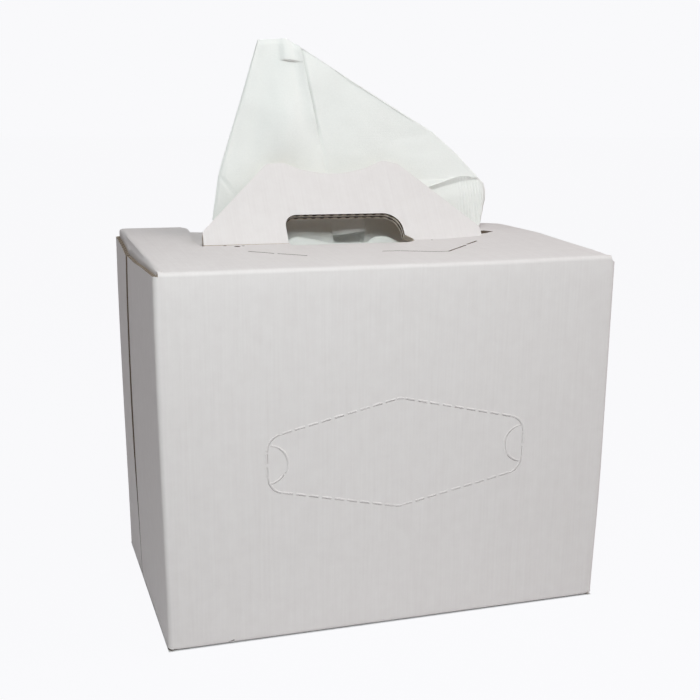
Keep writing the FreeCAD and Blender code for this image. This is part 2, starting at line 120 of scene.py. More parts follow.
class Bench:
    """One mesh being made, in millimetres, with the modelling operators."""

    def __init__(self, name: str) -> None:
        """An empty bench.

        Args:
            name: the finished piece's name.
        """
        self.name = name
        self.piece: bpy.types.Object | None = None

    def _take(self) -> "Bench":
        """Names the primitive that was just added, and applies its place."""
        self.piece = bpy.context.object
        self.piece.name = self.piece.data.name = self.name
        bpy.ops.object.transform_apply(location=True, rotation=True, scale=True)
        return self

    def grid(self, cells: tuple[int, int], size: tuple[float, float], centre: Vector,
             turn: Sequence[float] = (0, 0, 0)) -> "Bench":
        """Starts from a flat sheet of squares.

        Args:
            cells: how many along its own X and Y.
            size: its width and height.
            centre: its middle.
            turn: its Euler angles.

        Returns:
            The bench, with the sheet on it.
        """
        deselect_all()
        bpy.ops.mesh.primitive_grid_add(
            x_subdivisions=cells[0], y_subdivisions=cells[1], size=1, location=centre, rotation=turn
        )
        bpy.context.object.scale = (size[0], size[1], 1)
        return self._take()

    def outline(self, points: Points) -> "Bench":
        """Starts from a flat face with an outline's corners, seen from above."""
        deselect_all()
        bpy.ops.mesh.primitive_circle_add(vertices=len(points), fill_type="NGON")
        self._take()
        face = self.piece.data.polygons[0]
        for index, point in zip(face.vertices, points):
            self.piece.data.vertices[index].co = point
        return self

    def slab(self, points: Points, low: float, high: float, finish: Part) -> "Bench":
        """Starts from a closed plate between two heights, all of one finish."""
        self.outline([point + Z * low for point in points]).edit().pick_all().extrude(Z * (high - low))
        return self.done().outwards().paint(finish)

    def _hold(self, *others: "Bench") -> None:
        """Makes this piece active, with only it and the others selected."""
        deselect_all()
        for bench in (*others, self):
            bench.piece.select_set(True)
        bpy.context.view_layer.objects.active = self.piece

    def edit(self) -> "Bench":
        """Opens the mesh for editing."""
        self._hold()
        bpy.ops.object.mode_set(mode="EDIT")
        return self

    def done(self) -> "Bench":
        """Closes the mesh again."""
        bpy.ops.object.mode_set(mode="OBJECT")
        return self

    def pick_all(self) -> "Bench":
        """Selects the whole open mesh."""
        bpy.ops.mesh.select_all(action="SELECT")
        return self

    def pick(self, kind: Pick, test: Callable[..., bool]) -> "Bench":
        """Selects what passes a test in the open mesh, and nothing else.

        Args:
            kind: edges or faces.
            test: takes one of them.

        Returns:
            The bench.
        """
        bpy.ops.mesh.select_mode(type=kind.value)
        bpy.ops.mesh.select_all(action="DESELECT")
        net = bmesh.from_edit_mesh(self.piece.data)
        for item in net.edges if kind is Pick.EDGES else net.faces:
            if test(item):
                item.select = True
        net.select_flush_mode()
        bmesh.update_edit_mesh(self.piece.data)
        return self

    def pick_rim(self, test: Callable[[Vector], bool]) -> "Bench":
        """Selects the open edges both of whose ends pass a test."""
        return self.pick(Pick.EDGES, lambda edge: edge.is_boundary and all(test(v.co) for v in edge.verts))

    def extrude(self, way: Vector, rows: int = 1) -> "Bench":
        """Draws what is selected along a way, in equal rows."""
        for _ in range(rows):
            bpy.ops.mesh.extrude_region_move(TRANSFORM_OT_translate={"value": way / rows})
        return self

    def spin(self, centre: Vector, axis: Vector, angle: float, steps: int = 5) -> "Bench":
        """Sweeps what is selected round an axis, right-handed; the operator itself turns the other way."""
        bpy.ops.mesh.spin(steps=steps, angle=-angle, center=centre, axis=axis)
        return self

    def modify(self, kind: str, **settings: object) -> "Bench":
        """Puts a modifier on the closed mesh and applies it."""
        self._hold()
        modifier = self.piece.modifiers.new(kind.title(), kind)
        for key, value in settings.items():
            setattr(modifier, key, value)
        bpy.ops.object.modifier_apply(modifier=modifier.name)
        return self

    def cut(self, *knives: "Bench") -> "Bench":
        """Cuts closed knives out of a closed mesh, all in one pass, and throws the knives away."""
        drawer = bpy.data.collections.new("knives")
        for knife in knives:
            drawer.objects.link(knife.piece)
        self.modify("BOOLEAN", operation="DIFFERENCE", solver="EXACT", operand_type="COLLECTION",
                    collection=drawer, material_mode="TRANSFER")
        for knife in knives:
            bpy.data.objects.remove(knife.piece)
        bpy.data.collections.remove(drawer)
        return self

    def place(self, matrix: Matrix) -> "Bench":
        """Moves the whole mesh."""
        self.piece.data.transform(matrix)
        return self

    def press(self, shift: Callable[[Vector], Vector]) -> "Bench":
        """Moves each vertex by a small amount that depends on its place."""
        for vertex in self.piece.data.vertices:
            vertex.co += shift(vertex.co)
        return self

    def join(self, *others: "Bench") -> "Bench":
        """Makes other meshes part of this one, still loose in it."""
        self._hold(*others)
        bpy.ops.object.join()
        return self

    def outwards(self) -> "Bench":
        """Merges doubles and turns every face outwards."""
        self.edit().pick_all()
        bpy.ops.mesh.remove_doubles(threshold=EPS / 4)
        bpy.ops.mesh.normals_make_consistent(inside=False)
        return self.done()

    def dress(self, *finishes: bpy.types.Material) -> "Bench":
        """Gives the bare mesh its materials, in the order of its slots."""
        for finish in finishes:
            self.piece.data.materials.append(finish)
        return self

    def paint(self, finish: Part, test: Callable[[bpy.types.MeshPolygon], bool] | None = None) -> "Bench":
        """Puts the closed mesh's faces, or those that pass a test, in one material slot."""
        for face in self.piece.data.polygons:
            if test is None or test(face):
                face.material_index = finish.value
        return self

    def map(self, name: str, place: Callable[[Vector, Vector], Mark]) -> "Bench":
        """Gives the mesh one map of its own, in millimetres.

        Args:
            name: the map's name, by which a material asks for it.
            place: gives U and V from a corner's place and its face's normal.

        Returns:
            The bench.
        """
        mesh = self.piece.data
        while mesh.uv_layers:
            mesh.uv_layers.remove(mesh.uv_layers[0])
        layer = mesh.uv_layers.new(name=name)
        for face in mesh.polygons:
            for corner in face.loop_indices:
                layer.data[corner].uv = place(mesh.vertices[mesh.loops[corner].vertex_index].co, face.normal)
        return self

    def groove(self, test: Callable[[bmesh.types.BMFace], bool], lip: float, depth: float) -> "Bench":
        """Sinks a raw edge between its two liners.

        Args:
            test: picks the faces of the edge.
            lip: how much of it each liner takes.
            depth: how far the fluting lies back.

        Returns:
            The bench; the bottom of the groove takes the fluting's material, with painted shade of the flute
            holes.
        """
        self.edit().pick(Pick.FACES, test)
        bpy.ops.mesh.inset(thickness=lip, depth=-depth, use_boundary=True, use_even_offset=True)
        net = bmesh.from_edit_mesh(self.piece.data)
        for face in net.faces:
            if face.select:
                face.material_index = Part.FLUTING.value
        bmesh.update_edit_mesh(self.piece.data)
        return self.done()

    def deliver(self, slot: str, replaces: str, sharp: float = 35.0) -> bpy.types.Object:
        """Scales the piece to metres, hands it to the frame and reports it.

        Args:
            slot: the record's material slot; not used.
            replaces: the CAD node that it stands for.
            sharp: the angle in degrees past which an edge stays sharp.

        Returns:
            The finished object, at the origin.
        """
        self.place(Matrix.Scale(METRES, 4))._hold()
        bpy.ops.object.shade_smooth_by_angle(angle=math.radians(sharp))
        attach(self.piece, "root")
        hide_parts(replaces)
        log.info("%s: %d faces", self.name, len(self.piece.data.polygons))
        return self.piece


def flat(*points: Mark) -> Points:
    """Points on a plane, from their X and Y."""
    return [Vector((*point, 0)) for point in points]


def rounded(corners: Sequence[Mark], radii: dict[int, float], steps: int = 8) -> Points:
    """A flat outline with some of its corners rounded.

    Args:
        corners: its corners in order.
        radii: the radius of each corner to be rounded, by its number.
        steps: how many chords make a round.

    Returns:
        The outline's points.
    """
    points: Points = []
    for i, corner in enumerate(corners):
        last, here, following = flat(corners[i - 1], corner, corners[(i + 1) % len(corners)])
        if i not in radii:
            points.append(here)
            continue
        before, after = (last - here).normalized(), (following - here).normalized()
        half = before.angle(after) / 2
        reach = radii[i] / math.tan(half)
        centre = here + (before + after).normalized() * (radii[i] / math.sin(half))
        start, end = here + before * reach - centre, here + after * reach - centre
        for step in range(steps + 1):
            points.append(centre + start.slerp(end, step / steps).normalized() * radii[i])
    return points


def mirrored(half: Sequence[Mark]) -> list[Mark]:
    """An outline symmetric about X = 0, from its right half."""
    return [*half, *((-x, y) for x, y in reversed(half))]


# ---- finishes -------------------------------------------------------------------------------


def srgb(code: str) -> tuple[float, float, float, float]:
    """A colour written as sRGB hex, turned to linear."""
    levels = [int(code[i:i + 2], 16) / 255 for i in (1, 3, 5)]
    linear = [v / 12.92 if v <= 0.04045 else ((v + 0.055) / 1.055) ** 2.4 for v in levels]
    return (*linear, 1.0)


def plug(material: bpy.types.Material, node: bpy.types.Node, inputs: dict[str | int, object]) -> None:
    """Fills a node's inputs.

    Args:
        material: where the node is.
        node: the node.
        inputs: a value, or another node's output, for each input named.
    """
    for key, value in inputs.items():
        if isinstance(value, bpy.types.NodeSocket):
            material.node_tree.links.new(value, node.inputs[key])
        else:
            node.inputs[key].default_value = value


def add_node(material: bpy.types.Material, kind: str, inputs: dict[str | int, object] | None = None,
             **settings: object) -> bpy.types.Node:
    """Adds one node with its settings and links.

    Args:
        material: where it goes.
        kind: its type.
        inputs: what goes into each input named, as for plug.
        settings: its own properties.

    Returns:
        The node.
    """
    node = material.node_tree.nodes.new(kind)
    for key, value in settings.items():
        setattr(node, key, value)
    plug(material, node, inputs or {})
    return node


def new_material(name: str, roughness: float) -> tuple[bpy.types.Material, bpy.types.Node]:
    """An empty material and its surface shader."""
    material = bpy.data.materials.new(name)
    material.use_nodes = True
    shader = material.node_tree.nodes["Principled BSDF"]
    shader.inputs["Roughness"].default_value = roughness
    return material, shader


def surface(material: bpy.types.Material, shader: bpy.types.Node, colours: tuple[str, str],
            tone: bpy.types.NodeSocket, height: bpy.types.NodeSocket, relief: Mark) -> bpy.types.Material:
    """Gives a surface two colours and a relief.

    Args:
        material: the material.
        shader: its surface shader.
        colours: where the tone is 0 and where it is 1.
        tone: the pattern that mixes them.
        height: the pattern that stands up.
        relief: the relief's strength, and its depth in millimetres.

    Returns:
        The material.
    """
    colour = add_node(material, "ShaderNodeMix", {
        "Factor": tone, 6: srgb(colours[0]), 7: srgb(colours[1]),
    }, data_type="RGBA")
    bump = add_node(material, "ShaderNodeBump", {
        "Height": height, "Strength": relief[0], "Distance": relief[1] * METRES,
    })
    plug(material, shader, {"Base Color": colour.outputs[2], "Normal": bump.outputs["Normal"]})
    return material


def per_mm(spacing: float) -> float:
    """The scale of a noise whose features lie this many millimetres apart."""
    return 1 / (spacing * METRES)


@dataclass(frozen=True)
class WhiteTopLiner:
    """White-top testliner: bleached fibre over brown, so it is matt, a little mottled and warm."""

    white: str = "#e6e1e0"
    thin: str = "#dfd9d8"
    cloud: float = 9.0  # mm: the mottling of the thin white layer
    streak: float = 1.6  # mm across the flutes: liner drawn over the fluting
    streak_length: float = 60.0
    fibre: float = 0.35  # mm
    roughness: float = 0.62
    relief: Mark = (0.12, 0.05)  # strength, and mm

    def make(self) -> bpy.types.Material:
        """Builds the material; its pattern follows the board's own map, across and along the flutes."""
        material, shader = new_material("white_top_testliner", self.roughness)
        board = add_node(material, "ShaderNodeUVMap", uv_map="flutes")
        place = add_node(material, "ShaderNodeTexCoord")
        stretched = add_node(material, "ShaderNodeMapping", {
            "Vector": board.outputs["UV"],
            "Scale": (1 / self.streak, 1 / self.streak_length, 1.0),
        })
        streaks = add_node(material, "ShaderNodeTexNoise", {
            "Vector": stretched.outputs["Vector"], "Scale": 1.0, "Detail": 3.0, "Roughness": 0.6,
        })
        clouds = add_node(material, "ShaderNodeTexNoise", {
            "Vector": place.outputs["Object"], "Scale": per_mm(self.cloud), "Detail": 4.0, "Roughness": 0.65,
        })
        both = add_node(material, "ShaderNodeMath", {0: streaks.outputs["Fac"], 1: clouds.outputs["Fac"]},
                        operation="ADD")
        tone = add_node(material, "ShaderNodeMapRange", {
            "Value": both.outputs["Value"], "From Min": 0.6, "From Max": 1.4,
        })
        fibres = add_node(material, "ShaderNodeTexNoise", {
            "Vector": place.outputs["Object"], "Scale": per_mm(self.fibre), "Detail": 2.0,
        })
        return surface(material, shader, (self.thin, self.white), tone.outputs["Result"],
                       fibres.outputs["Fac"], self.relief)


@dataclass(frozen=True)
class BrownKraft:
    """Kraft fibre, as a liner or where the board is cut or crushed: matt, with darker specks."""

    name: str = "brown_kraft"
    pale: str = "#b79b76"
    dark: str = "#9a7f5c"
    fleck: float = 2.2  # mm: shives in the pulp, drawn a little coarse so that they show
    roughness: float = 0.8
    relief: Mark = (0.3, 0.08)  # strength, and mm

    def make(self) -> bpy.types.Material:
        """Builds the material."""
        material, shader = new_material(self.name, self.roughness)
        place = add_node(material, "ShaderNodeTexCoord")
        flecks = add_node(material, "ShaderNodeTexNoise", {
            "Vector": place.outputs["Object"], "Scale": per_mm(self.fleck), "Detail": 5.0, "Roughness": 0.7,
        })
        return surface(material, shader, (self.dark, self.pale), flecks.outputs["Fac"],
                       flecks.outputs["Fac"], self.relief)


@dataclass(frozen=True)
class AirlaidWipe:
    """Airlaid nonwoven: bonded white fibres, very matt, with light passing through one layer."""

    white: str = "#f9f9f6"
    thin: str = "#f0f0ed"
    tuft: float = 1.1  # mm: uneven laying of the fibres
    line: float = 0.9  # mm between the fine crepe lines
    line_length: float = 16.0
    fibre: float = 0.25  # mm
    roughness: float = 0.95
    relief: Mark = (0.7, 0.12)  # strength, and mm
    sheen: float = 0.15
    glow: float = 0.1  # the share of light that passes into the sheet

    def make(self) -> bpy.types.Material:
        """Builds the material."""
        material, shader = new_material("airlaid_nonwoven", self.roughness)
        place = add_node(material, "ShaderNodeTexCoord")
        tufts = add_node(material, "ShaderNodeTexNoise", {
            "Vector": place.outputs["Object"], "Scale": per_mm(self.tuft), "Detail": 3.0, "Roughness": 0.6,
        })
        fibres = add_node(material, "ShaderNodeTexNoise", {
            "Vector": place.outputs["Object"], "Scale": per_mm(self.fibre), "Detail": 2.0,
        })
        fabric = add_node(material, "ShaderNodeUVMap", uv_map="crepe")
        drawn = add_node(material, "ShaderNodeMapping", {
            "Vector": fabric.outputs["UV"], "Scale": (1 / self.line_length, 1 / self.line, 1.0),
        })
        lines = add_node(material, "ShaderNodeTexNoise", {
            "Vector": drawn.outputs["Vector"], "Scale": 1.0, "Detail": 2.0, "Roughness": 0.5,
        })
        fine = add_node(material, "ShaderNodeMath", {0: tufts.outputs["Fac"], 1: fibres.outputs["Fac"]},
                        operation="ADD")
        height = add_node(material, "ShaderNodeMath", {0: fine.outputs["Value"], 1: lines.outputs["Fac"]},
                          operation="ADD")
        plug(material, shader, {
            "Sheen Weight": self.sheen, "Subsurface Weight": self.glow,
            "Subsurface Radius": (METRES, METRES, METRES),
        })
        return surface(material, shader, (self.thin, self.white), tufts.outputs["Fac"],
                       height.outputs["Value"], self.relief)


# ---- the board ------------------------------------------------------------------------------


@dataclass(frozen=True)
class Board:
    """B-flute board: two liners and a fluted sheet between them."""

    thickness: float = 3.0
    liner: float = 0.42
    medium: float = 0.3
    pitch: float = 6.5  # one flute
    samples: int = 4  # columns to a flute
    washboard: float = 0.03  # how far the flutes show through the liner
    fold_radius: float = 3.2
    recess: float = 1.0  # of the fluting, behind a raw edge
    ribbon_steps: int = 12  # places along each flute of a ribbon
    ribbon_start: float = 0.12  # how far behind the raw edge a ribbon starts
    ribbon_root: float = 0.3  # how far it runs on past the recess

    def wave(self, place: float) -> float:
        """How far the face stands off at a place across the flutes."""
        return self.washboard * math.cos(math.tau * place / self.pitch)

    def ribbon(self, path: Points, inward: Vector | None, normal: Vector, across: Vector) -> Bench:
        """The fluted sheet as it shows at a raw edge.

        Args:
            path: the edge's middle line.
            inward: the way into the board, or None for the path's own left.
            normal: the board's face.
            across: the way across the flutes, in the board's plane.

        Returns:
            A thin wavy ribbon on a bench of its own.
        """
        step = self.pitch / self.ribbon_steps
        places, ways = [], []
        for start, end in zip(path, path[1:]):
            length = (end - start).length
            if length < EPS:
                continue
            count = max(1, round(length / step))
            for i in range(count):
                places.append(start.lerp(end, i / count))
                ways.append((end - start).normalized())
        places.append(path[-1])
        ways.append(ways[-1])
        bench = Bench("fluting").grid((len(places) - 1, 1), (1, 1), Vector())
        height = (self.thickness - 2 * self.liner - self.medium) / 2
        for vertex in bench.piece.data.vertices:
            column = round((vertex.co.x + 0.5) * (len(places) - 1))
            depth = self.ribbon_start if vertex.co.y > 0 else self.recess + self.ribbon_root
            place = places[column]
            lift = normal * (height * math.sin(math.tau * place.dot(across) / self.pitch))
            vertex.co = place + lift + (inward or normal.cross(ways[column])) * depth
        return bench.modify("SOLIDIFY", thickness=self.medium, offset=0)


@dataclass
class Carton:
    """The carton's driving sizes, in millimetres, and the places that follow from them."""

    width: float = 310.0
    depth: float = 203.0
    height: float = 247.5
    lid_rise: float = 6.2
    edge_drop: float = 3.0
    seam: float = 131.0
    seam_gap: float = 1.6
    dust: float = 60.0
    dust_margin: float = 4.6
    inner_margin: float = 10.0
    layer_gap: float = 0.5
    handle_place: float = 106.0
    board: Board = field(default_factory=Board)

    def __post_init__(self) -> None:
        """Works out the folds' centres and the top's plane."""
        radius = self.board.fold_radius
        self.slope = math.atan(self.lid_rise / self.depth)
        self.along = Vector((0, math.cos(self.slope), math.sin(self.slope)))
        self.up = Vector((0, -math.sin(self.slope), math.cos(self.slope)))
        self.front = -self.depth / 2
        self.back = self.depth / 2
        self.flat_x = self.width / 2 - self.board.thickness - radius  # inside the rolled ends
        self.wall_x = self.width / 2 - radius  # to the upright folds
        self.front_fold_z = self.height - radius * (1 - math.sin(self.slope)) / math.cos(self.slope)
        self.back_fold_z = self.height + (
            (self.depth - radius) * math.sin(self.slope) - self.board.thickness - self.layer_gap - radius
        ) / math.cos(self.slope)
        self.front_edge_z = self.height - self.edge_drop
        self.back_edge_z = self.back_fold_z + radius - self.edge_drop

    @property
    def top(self) -> Matrix:
        """The place of the top: X across, Y along it from the front edge, Z square to it."""
        return Matrix.Translation((0, self.front, self.height)) @ Matrix.Rotation(self.slope, 4, "X")

    @property
    def seam_y(self) -> float:
        """The place along Y of the seam between the end flaps."""
        return self.front + self.seam

    def prism(self, name: str, outline: Points, low: float, high: float, finish: Part) -> Bench:
        """A closed knife on the top, cut to an outline, between two heights."""
        return Bench(name).slab(outline, low, high, finish).place(self.top)


def vee(name: str, path: Points, normal: Vector, width: float, sink: float, base: float,
        finish: Part) -> Bench:
    """A bar of triangular section along a path on a face: a knife if it sinks, a burr if it stands.

    Args:
        name: its name.
        path: its middle line on the face.
        normal: the face's way out.
        width: across its base.
        sink: how far its edge lies under the face, less than 0 for a burr.
        base: how far its base stands off the face.
        finish: the material of its faces.

    Returns:
        The closed bar.
    """
    count = len(path) - 1
    bench = Bench(name).grid((count, 3), (1, 1), Vector())
    for vertex in bench.piece.data.vertices:
        column = round((vertex.co.x + 0.5) * count)
        corner = round((vertex.co.y + 0.5) * 3) % 3
        way = (path[min(column + 1, count)] - path[max(column - 1, 0)]).normalized()
        side = normal.cross(way) * (width / 2)
        offset = (side + normal * base, -side + normal * base, -normal * sink)[corner]
        vertex.co = path[column] + offset
    bench.edit().pick_all()
    bpy.ops.mesh.remove_doubles(threshold=EPS / 4)
    bpy.ops.mesh.fill_holes(sides=3)
    return bench.done().outwards().paint(finish)


@dataclass
class KnockOut:
    """The perforated knock-out in the front wall: a long hexagon with a thumb cut at each end."""

    carton: Carton
    width: float = 180.0
    height: float = 76.0
    side: float = 37.0
    round: float = 11.0
    round_steps: int = 6
    skew: float = 2.8  # its place along X
    drop: float = 125.5
    pitch: float = 8.6
    cut: float = 6.2
    thumb: float = 13.0
    thumb_arcs: tuple[Mark, ...] = ((-82, -34), (-28, 82))  # degrees, on either side of a nick
    thumb_drop: float = 0.9
    knife_width: float = 0.62
    knife_depth: float = 1.0
    burr_width: float = 1.6
    burr_height: float = 0.34
    burr_root: float = 0.08  # in the face
    burr_offset: float = 0.95  # the board rises a little above each cut

    def paths(self) -> list[Points]:
        """Every cut's middle line on the front face: the dashes, the round corners and the thumb cuts."""
        wide, tall, half = self.width / 2, self.height / 2, self.side / 2
        corners = [(0, tall - 0.7), (-wide, half - 1.5), (-wide, -half),
                   (0, -tall), (wide, -half - 1.6), (wide, half - 1.9)]
        points = rounded(corners, {i: self.round for i in range(len(corners))}, self.round_steps)
        count = self.round_steps + 1
        arcs = [points[i:i + count] for i in range(0, len(points), count)]
        cuts = list(arcs)
        for arc, following in zip(arcs, arcs[1:] + arcs[:1]):
            start, end = arc[-1], following[0]
            leg = end - start
            count = max(1, round(leg.length / self.pitch))
            nick = (self.pitch - self.cut) / 2 / leg.length
            for i in range(count):
                cuts.append([start + leg * (i / count + nick), start + leg * ((i + 1) / count - nick)])
        for side in Side:
            for begin, end in self.thumb_arcs:
                angles = [math.radians(begin + (end - begin) * i / 8) for i in range(9)]
                cuts.append([Vector((
                    side.value * (wide - self.thumb * math.cos(a)),
                    self.thumb * math.sin(a) - self.thumb_drop, 0,
                )) for a in angles])
        middle = self.carton.height - self.drop
        return [[Vector((p.x + self.skew, self.carton.front, middle + p.y)) for p in path] for path in cuts]

    def knives(self) -> Bench:
        """The knives that make the cuts; their faces take the dark fluting colour, painted shade in the slits
        over the raw fibre.
        """
        bars = []
        for i, path in enumerate(self.paths()):
            share = 0.55 + 0.45 * math.sin(i * 2.4) ** 2 + 0.7 * smooth(66, 92, path[0].x)
            sizes = self.knife_width * share, self.knife_depth, KNIFE_BASE
            bars.append(vee("cut", path, -Y, *sizes, Part.FLUTING))
        return bars[0].join(*bars[1:])

    def burrs(self) -> Bench:
        """The low ridges that the knives have raised above the cuts."""
        bars = []
        for path in self.paths():
            side = (path[-1] - path[0]).normalized().cross(-Y)
            if side.z * 3 + side.x * math.copysign(1, path[0].x) < 0:
                side = -side
            raised = [point + side * self.burr_offset for point in path]
            sizes = self.burr_width, -self.burr_height, -self.burr_root
            bars.append(vee("burr", raised, -Y, *sizes, Part.FACE))
        return bars[0].join(*bars[1:])


@dataclass
class Blank:
    """The folded blank: walls, base, end flaps, both top flaps and the tucked dust flaps."""

    carton: Carton
    rows: int = 16
    fold_steps: int = 5
    wing_shoulder: float = 119.0
    slot: tuple[float, float] = (44.0, 9.0)  # half the width of the hand hole, and its reach in front
    slit: float = 0.8
    window_start: float = 5.8  # of the inner board's window, behind the handle's fold
    base_rows: int = 8
    inner_rows: int = 18
    lid_rows: int = 22
    dust_rows: int = 4
    base_lift: float = 0.5  # of the bottom folds, over the floor
    fold_power: float = 0.6  # under 1, the bottom folds are squarer than arcs
    dent: float = 4.2  # at the top's right front corner
    end_swell: float = 2.3  # of the right end
    # how far the end flaps' raw top edges stand off their own line, by depth: front flap, back flap
    front_edge: tuple[Mark, ...] = ((6, 0.7), (55, -0.3), (84, -1.6), (127, -2.0))
    back_edge: tuple[Mark, ...] = ((132, -4.2), (150, -3.0), (181, -0.6), (203, 0.8))
    # how far the top's right side stands up, by depth
    right_lift: tuple[Mark, ...] = (
        (0, 0.9), (20, 1.7), (60, 2.2), (107, 3.1), (150, 2.2), (172, 1.7), (186, 0.4), (203, -1.4),
    )
    # across the top and along it from the front edge: what is torn out of it or gapes beside the handle,
    # the nicks by the hand hole with their radii, and the lines pressed in it
    wing_tear: tuple[Mark, ...] = ((108, 114.5), (113.5, 116.8), (121.6, 123.4), (117, 131), (108, 136))
    hole_tear: tuple[Mark, ...] = ((43, 96.5), (46.5, 98.5), (52.5, 106.9), (43, 106.9))
    left_gap: tuple[Mark, ...] = ((-107.6, 104.6), (-105.0, 104.6), (-105.0, 122), (-107.2, 122))
    nicks: tuple[tuple[float, float, float], ...] = (
        (-83.3, 98.6, 2.3), (-91.0, 104.0, 1.3), (-78.6, 101.0, 1.1), (64.0, 103.6, 0.9),
    )
    pressed_lines: tuple[tuple[Mark, ...], ...] = (
        ((-81, 74.6), (-72, 68), (-66, 62)), ((-64, 61), (-56, 55), (-47, 48)),
        ((9, 57.3), (21, 56.4), (34, 51.6), (46, 47.4), (54, 47.2), (63, 57), (77, 71)),
        ((79, 74), (92, 85.6)),
    )
    pressed: Mark = (2.4, 0.8)  # the width and depth of those lines
    chip: tuple[Mark, ...] = ((-115.5, 1.4), (-111.5, 2.6))  # across the front wall and up it
    chip_size: Mark = (1.0, 0.9)  # its width and depth
    raw_depth: float = 0.4  # of the fluting, behind the end flaps' top edges

    def make(self, finishes: Finishes) -> bpy.types.Object:
        """Folds, cuts and dresses the blank."""
        c, board = self.carton, self.carton.board
        sheet = self._fold_up().dress(*finishes)
        sheet.modify("SOLIDIFY", thickness=board.thickness, offset=-1, use_even_offset=True,
                     material_offset=Part.INSIDE.value, material_offset_rim=Part.RAW_EDGE.value)
        knock_out = KnockOut(c)
        # the chip's faces take the dark fluting colour: painted shade in the chip, over the raw fibre
        chip_line = [Vector((x, c.front, z)) for x, z in self.chip]
        chip = vee("chip", chip_line, -Y, *self.chip_size, KNIFE_BASE, Part.FLUTING)
        sheet.cut(*self._top_knives(finishes), knock_out.knives().dress(*finishes), chip.dress(*finishes))
        # the seam's raw edges get the dark fluting colour: painted shade in the gap between the end flaps
        sheet.paint(Part.FLUTING, self._in_seam)
        sheet.groove(self._shows_fluting, board.liner, self.raw_depth)
        sheet.paint(Part.CRUSHED, self._on_dent)
        sheet.join(knock_out.burrs().dress(*finishes)).press(self.wear).map("flutes", self._on_flutes)
        return sheet.deliver("white_board", "carton", 40)

    @staticmethod
    def _on_flutes(p: Vector, normal: Vector) -> Mark:
        """Across the flutes and along them, with the ends on a part of the pattern of their own."""
        return p.y + 400 if abs(normal.x) > 0.7 else p.x, p.y if abs(normal.z) > 0.7 else p.z

    def _in_seam(self, face: bpy.types.MeshPolygon) -> bool:
        """Whether a face is one of the raw edges that meet at an end's seam; these take the dark fluting
        colour as painted shade in the gap, over their raw fibre.
        """
        c = self.carton
        at_seam = abs(face.center.y - c.seam_y) < 2 and abs(face.center.x) > c.flat_x
        return at_seam and abs(face.normal.y) > 0.7

    def _on_dent(self, face: bpy.types.MeshPolygon) -> bool:
        """Whether a face is a raw edge at the top's dented corner."""
        c, middle = self.carton, face.center
        at_corner = middle.x > c.flat_x and middle.y < c.front + 12 and middle.z > c.height - 6
        return at_corner and face.material_index in (Part.RAW_EDGE.value, Part.FLUTING.value)

    def _fold_up(self) -> Bench:
        """Draws the whole blank from its front wall, fold by fold, as one open sheet.

        Returns:
            The bench, with the sheet's outer face.
        """
        c, radius = self.carton, self.carton.board.fold_radius
        quarter = math.pi / 2
        columns = round(2 * c.flat_x / c.board.pitch) * c.board.samples
        low, high = radius, c.front_fold_z
        middle = Vector((0, c.front, (low + high) / 2))
        sheet = Bench("carton_blank")
        sheet.grid((columns, self.rows), (2 * c.flat_x, high - low), middle, (quarter, 0, 0)).edit()

        # base, back wall and inner top flap
        sheet.pick_rim(lambda p: abs(p.z - low) < EPS)
        sheet.spin(Vector((0, c.front + radius, radius)), X, quarter, self.fold_steps)
        margin = c.dust_margin - radius
        run = c.depth - 2 * c.dust_margin
        sheet.extrude(Y * margin).extrude(Y * run, self.base_rows).extrude(Y * margin)
        sheet.spin(Vector((0, c.back - radius, radius)), X, quarter, self.fold_steps)
        sheet.extrude(Z * (c.back_fold_z - radius), self.rows)
        inner_x = c.width / 2 - c.inner_margin + REACH
        sheet.pick_rim(lambda p: p.y > c.back - EPS and abs(p.z - c.back_fold_z) < EPS and abs(p.x) < inner_x)
        sheet.spin(Vector((0, c.back - radius, c.back_fold_z)), X, quarter + c.slope, self.fold_steps)
        sheet.extrude(-c.along * (c.depth - radius - c.inner_margin), self.inner_rows)

        # outer top flap, its rolled ends, and the base's own ends
        sheet.pick_rim(lambda p: p.y < c.front + EPS and abs(p.z - high) < EPS)
        sheet.spin(Vector((0, c.front + radius, high)), X, c.slope - quarter, self.fold_steps)
        sheet.extrude(c.along * margin)
        sheet.extrude(c.along * (c.depth / math.cos(c.slope) - c.dust_margin - self.slit), self.lid_rows)
        lid_start, base_end = c.front + c.dust_margin - REACH, c.back - c.dust_margin + EPS
        for side in Side:
            x = side.value * c.flat_x
            sheet.pick_rim(lambda p: abs(p.x - x) < EPS and p.y > lid_start and p.z > c.height
                           and (p - self._lid_point(p.y)).dot(c.up) > -EPS)
            fold = Vector((x, c.front, c.height)) - c.up * radius
            sheet.spin(fold, c.along, side.value * quarter, self.fold_steps)
            sheet.extrude(-c.up * c.dust, self.dust_rows)
            sheet.pick_rim(lambda p: abs(p.x - x) < EPS and p.z < EPS and abs(p.y) < base_end)
            sheet.spin(Vector((x, 0, radius)), Y, -side.value * quarter, self.fold_steps)
            sheet.extrude(Z * c.dust, self.dust_rows)

        # upright folds and end flaps
        front_run = c.seam - c.seam_gap / 2 - radius
        back_run = c.depth - c.seam - c.seam_gap / 2 - radius
        for side in Side:
            self._end_flap(sheet, side.value, -1, front_run, c.front_fold_z, c.front_edge_z)
            self._end_flap(sheet, side.value, 1, back_run, c.back_fold_z, c.back_edge_z)
        sheet.pick_all()
        bpy.ops.mesh.normals_make_consistent(inside=False)
        sheet.done()
        if sheet.piece.data.polygons[0].normal.y > 0:
            sheet.edit().pick_all()
            bpy.ops.mesh.flip_normals()
            sheet.done()
        return sheet

    def _lid_point(self, y: float) -> Vector:
        """The place on the top's plane above a place on the floor."""
        c = self.carton
        return Vector((0, y, c.height + (y - c.front) * math.tan(c.slope)))

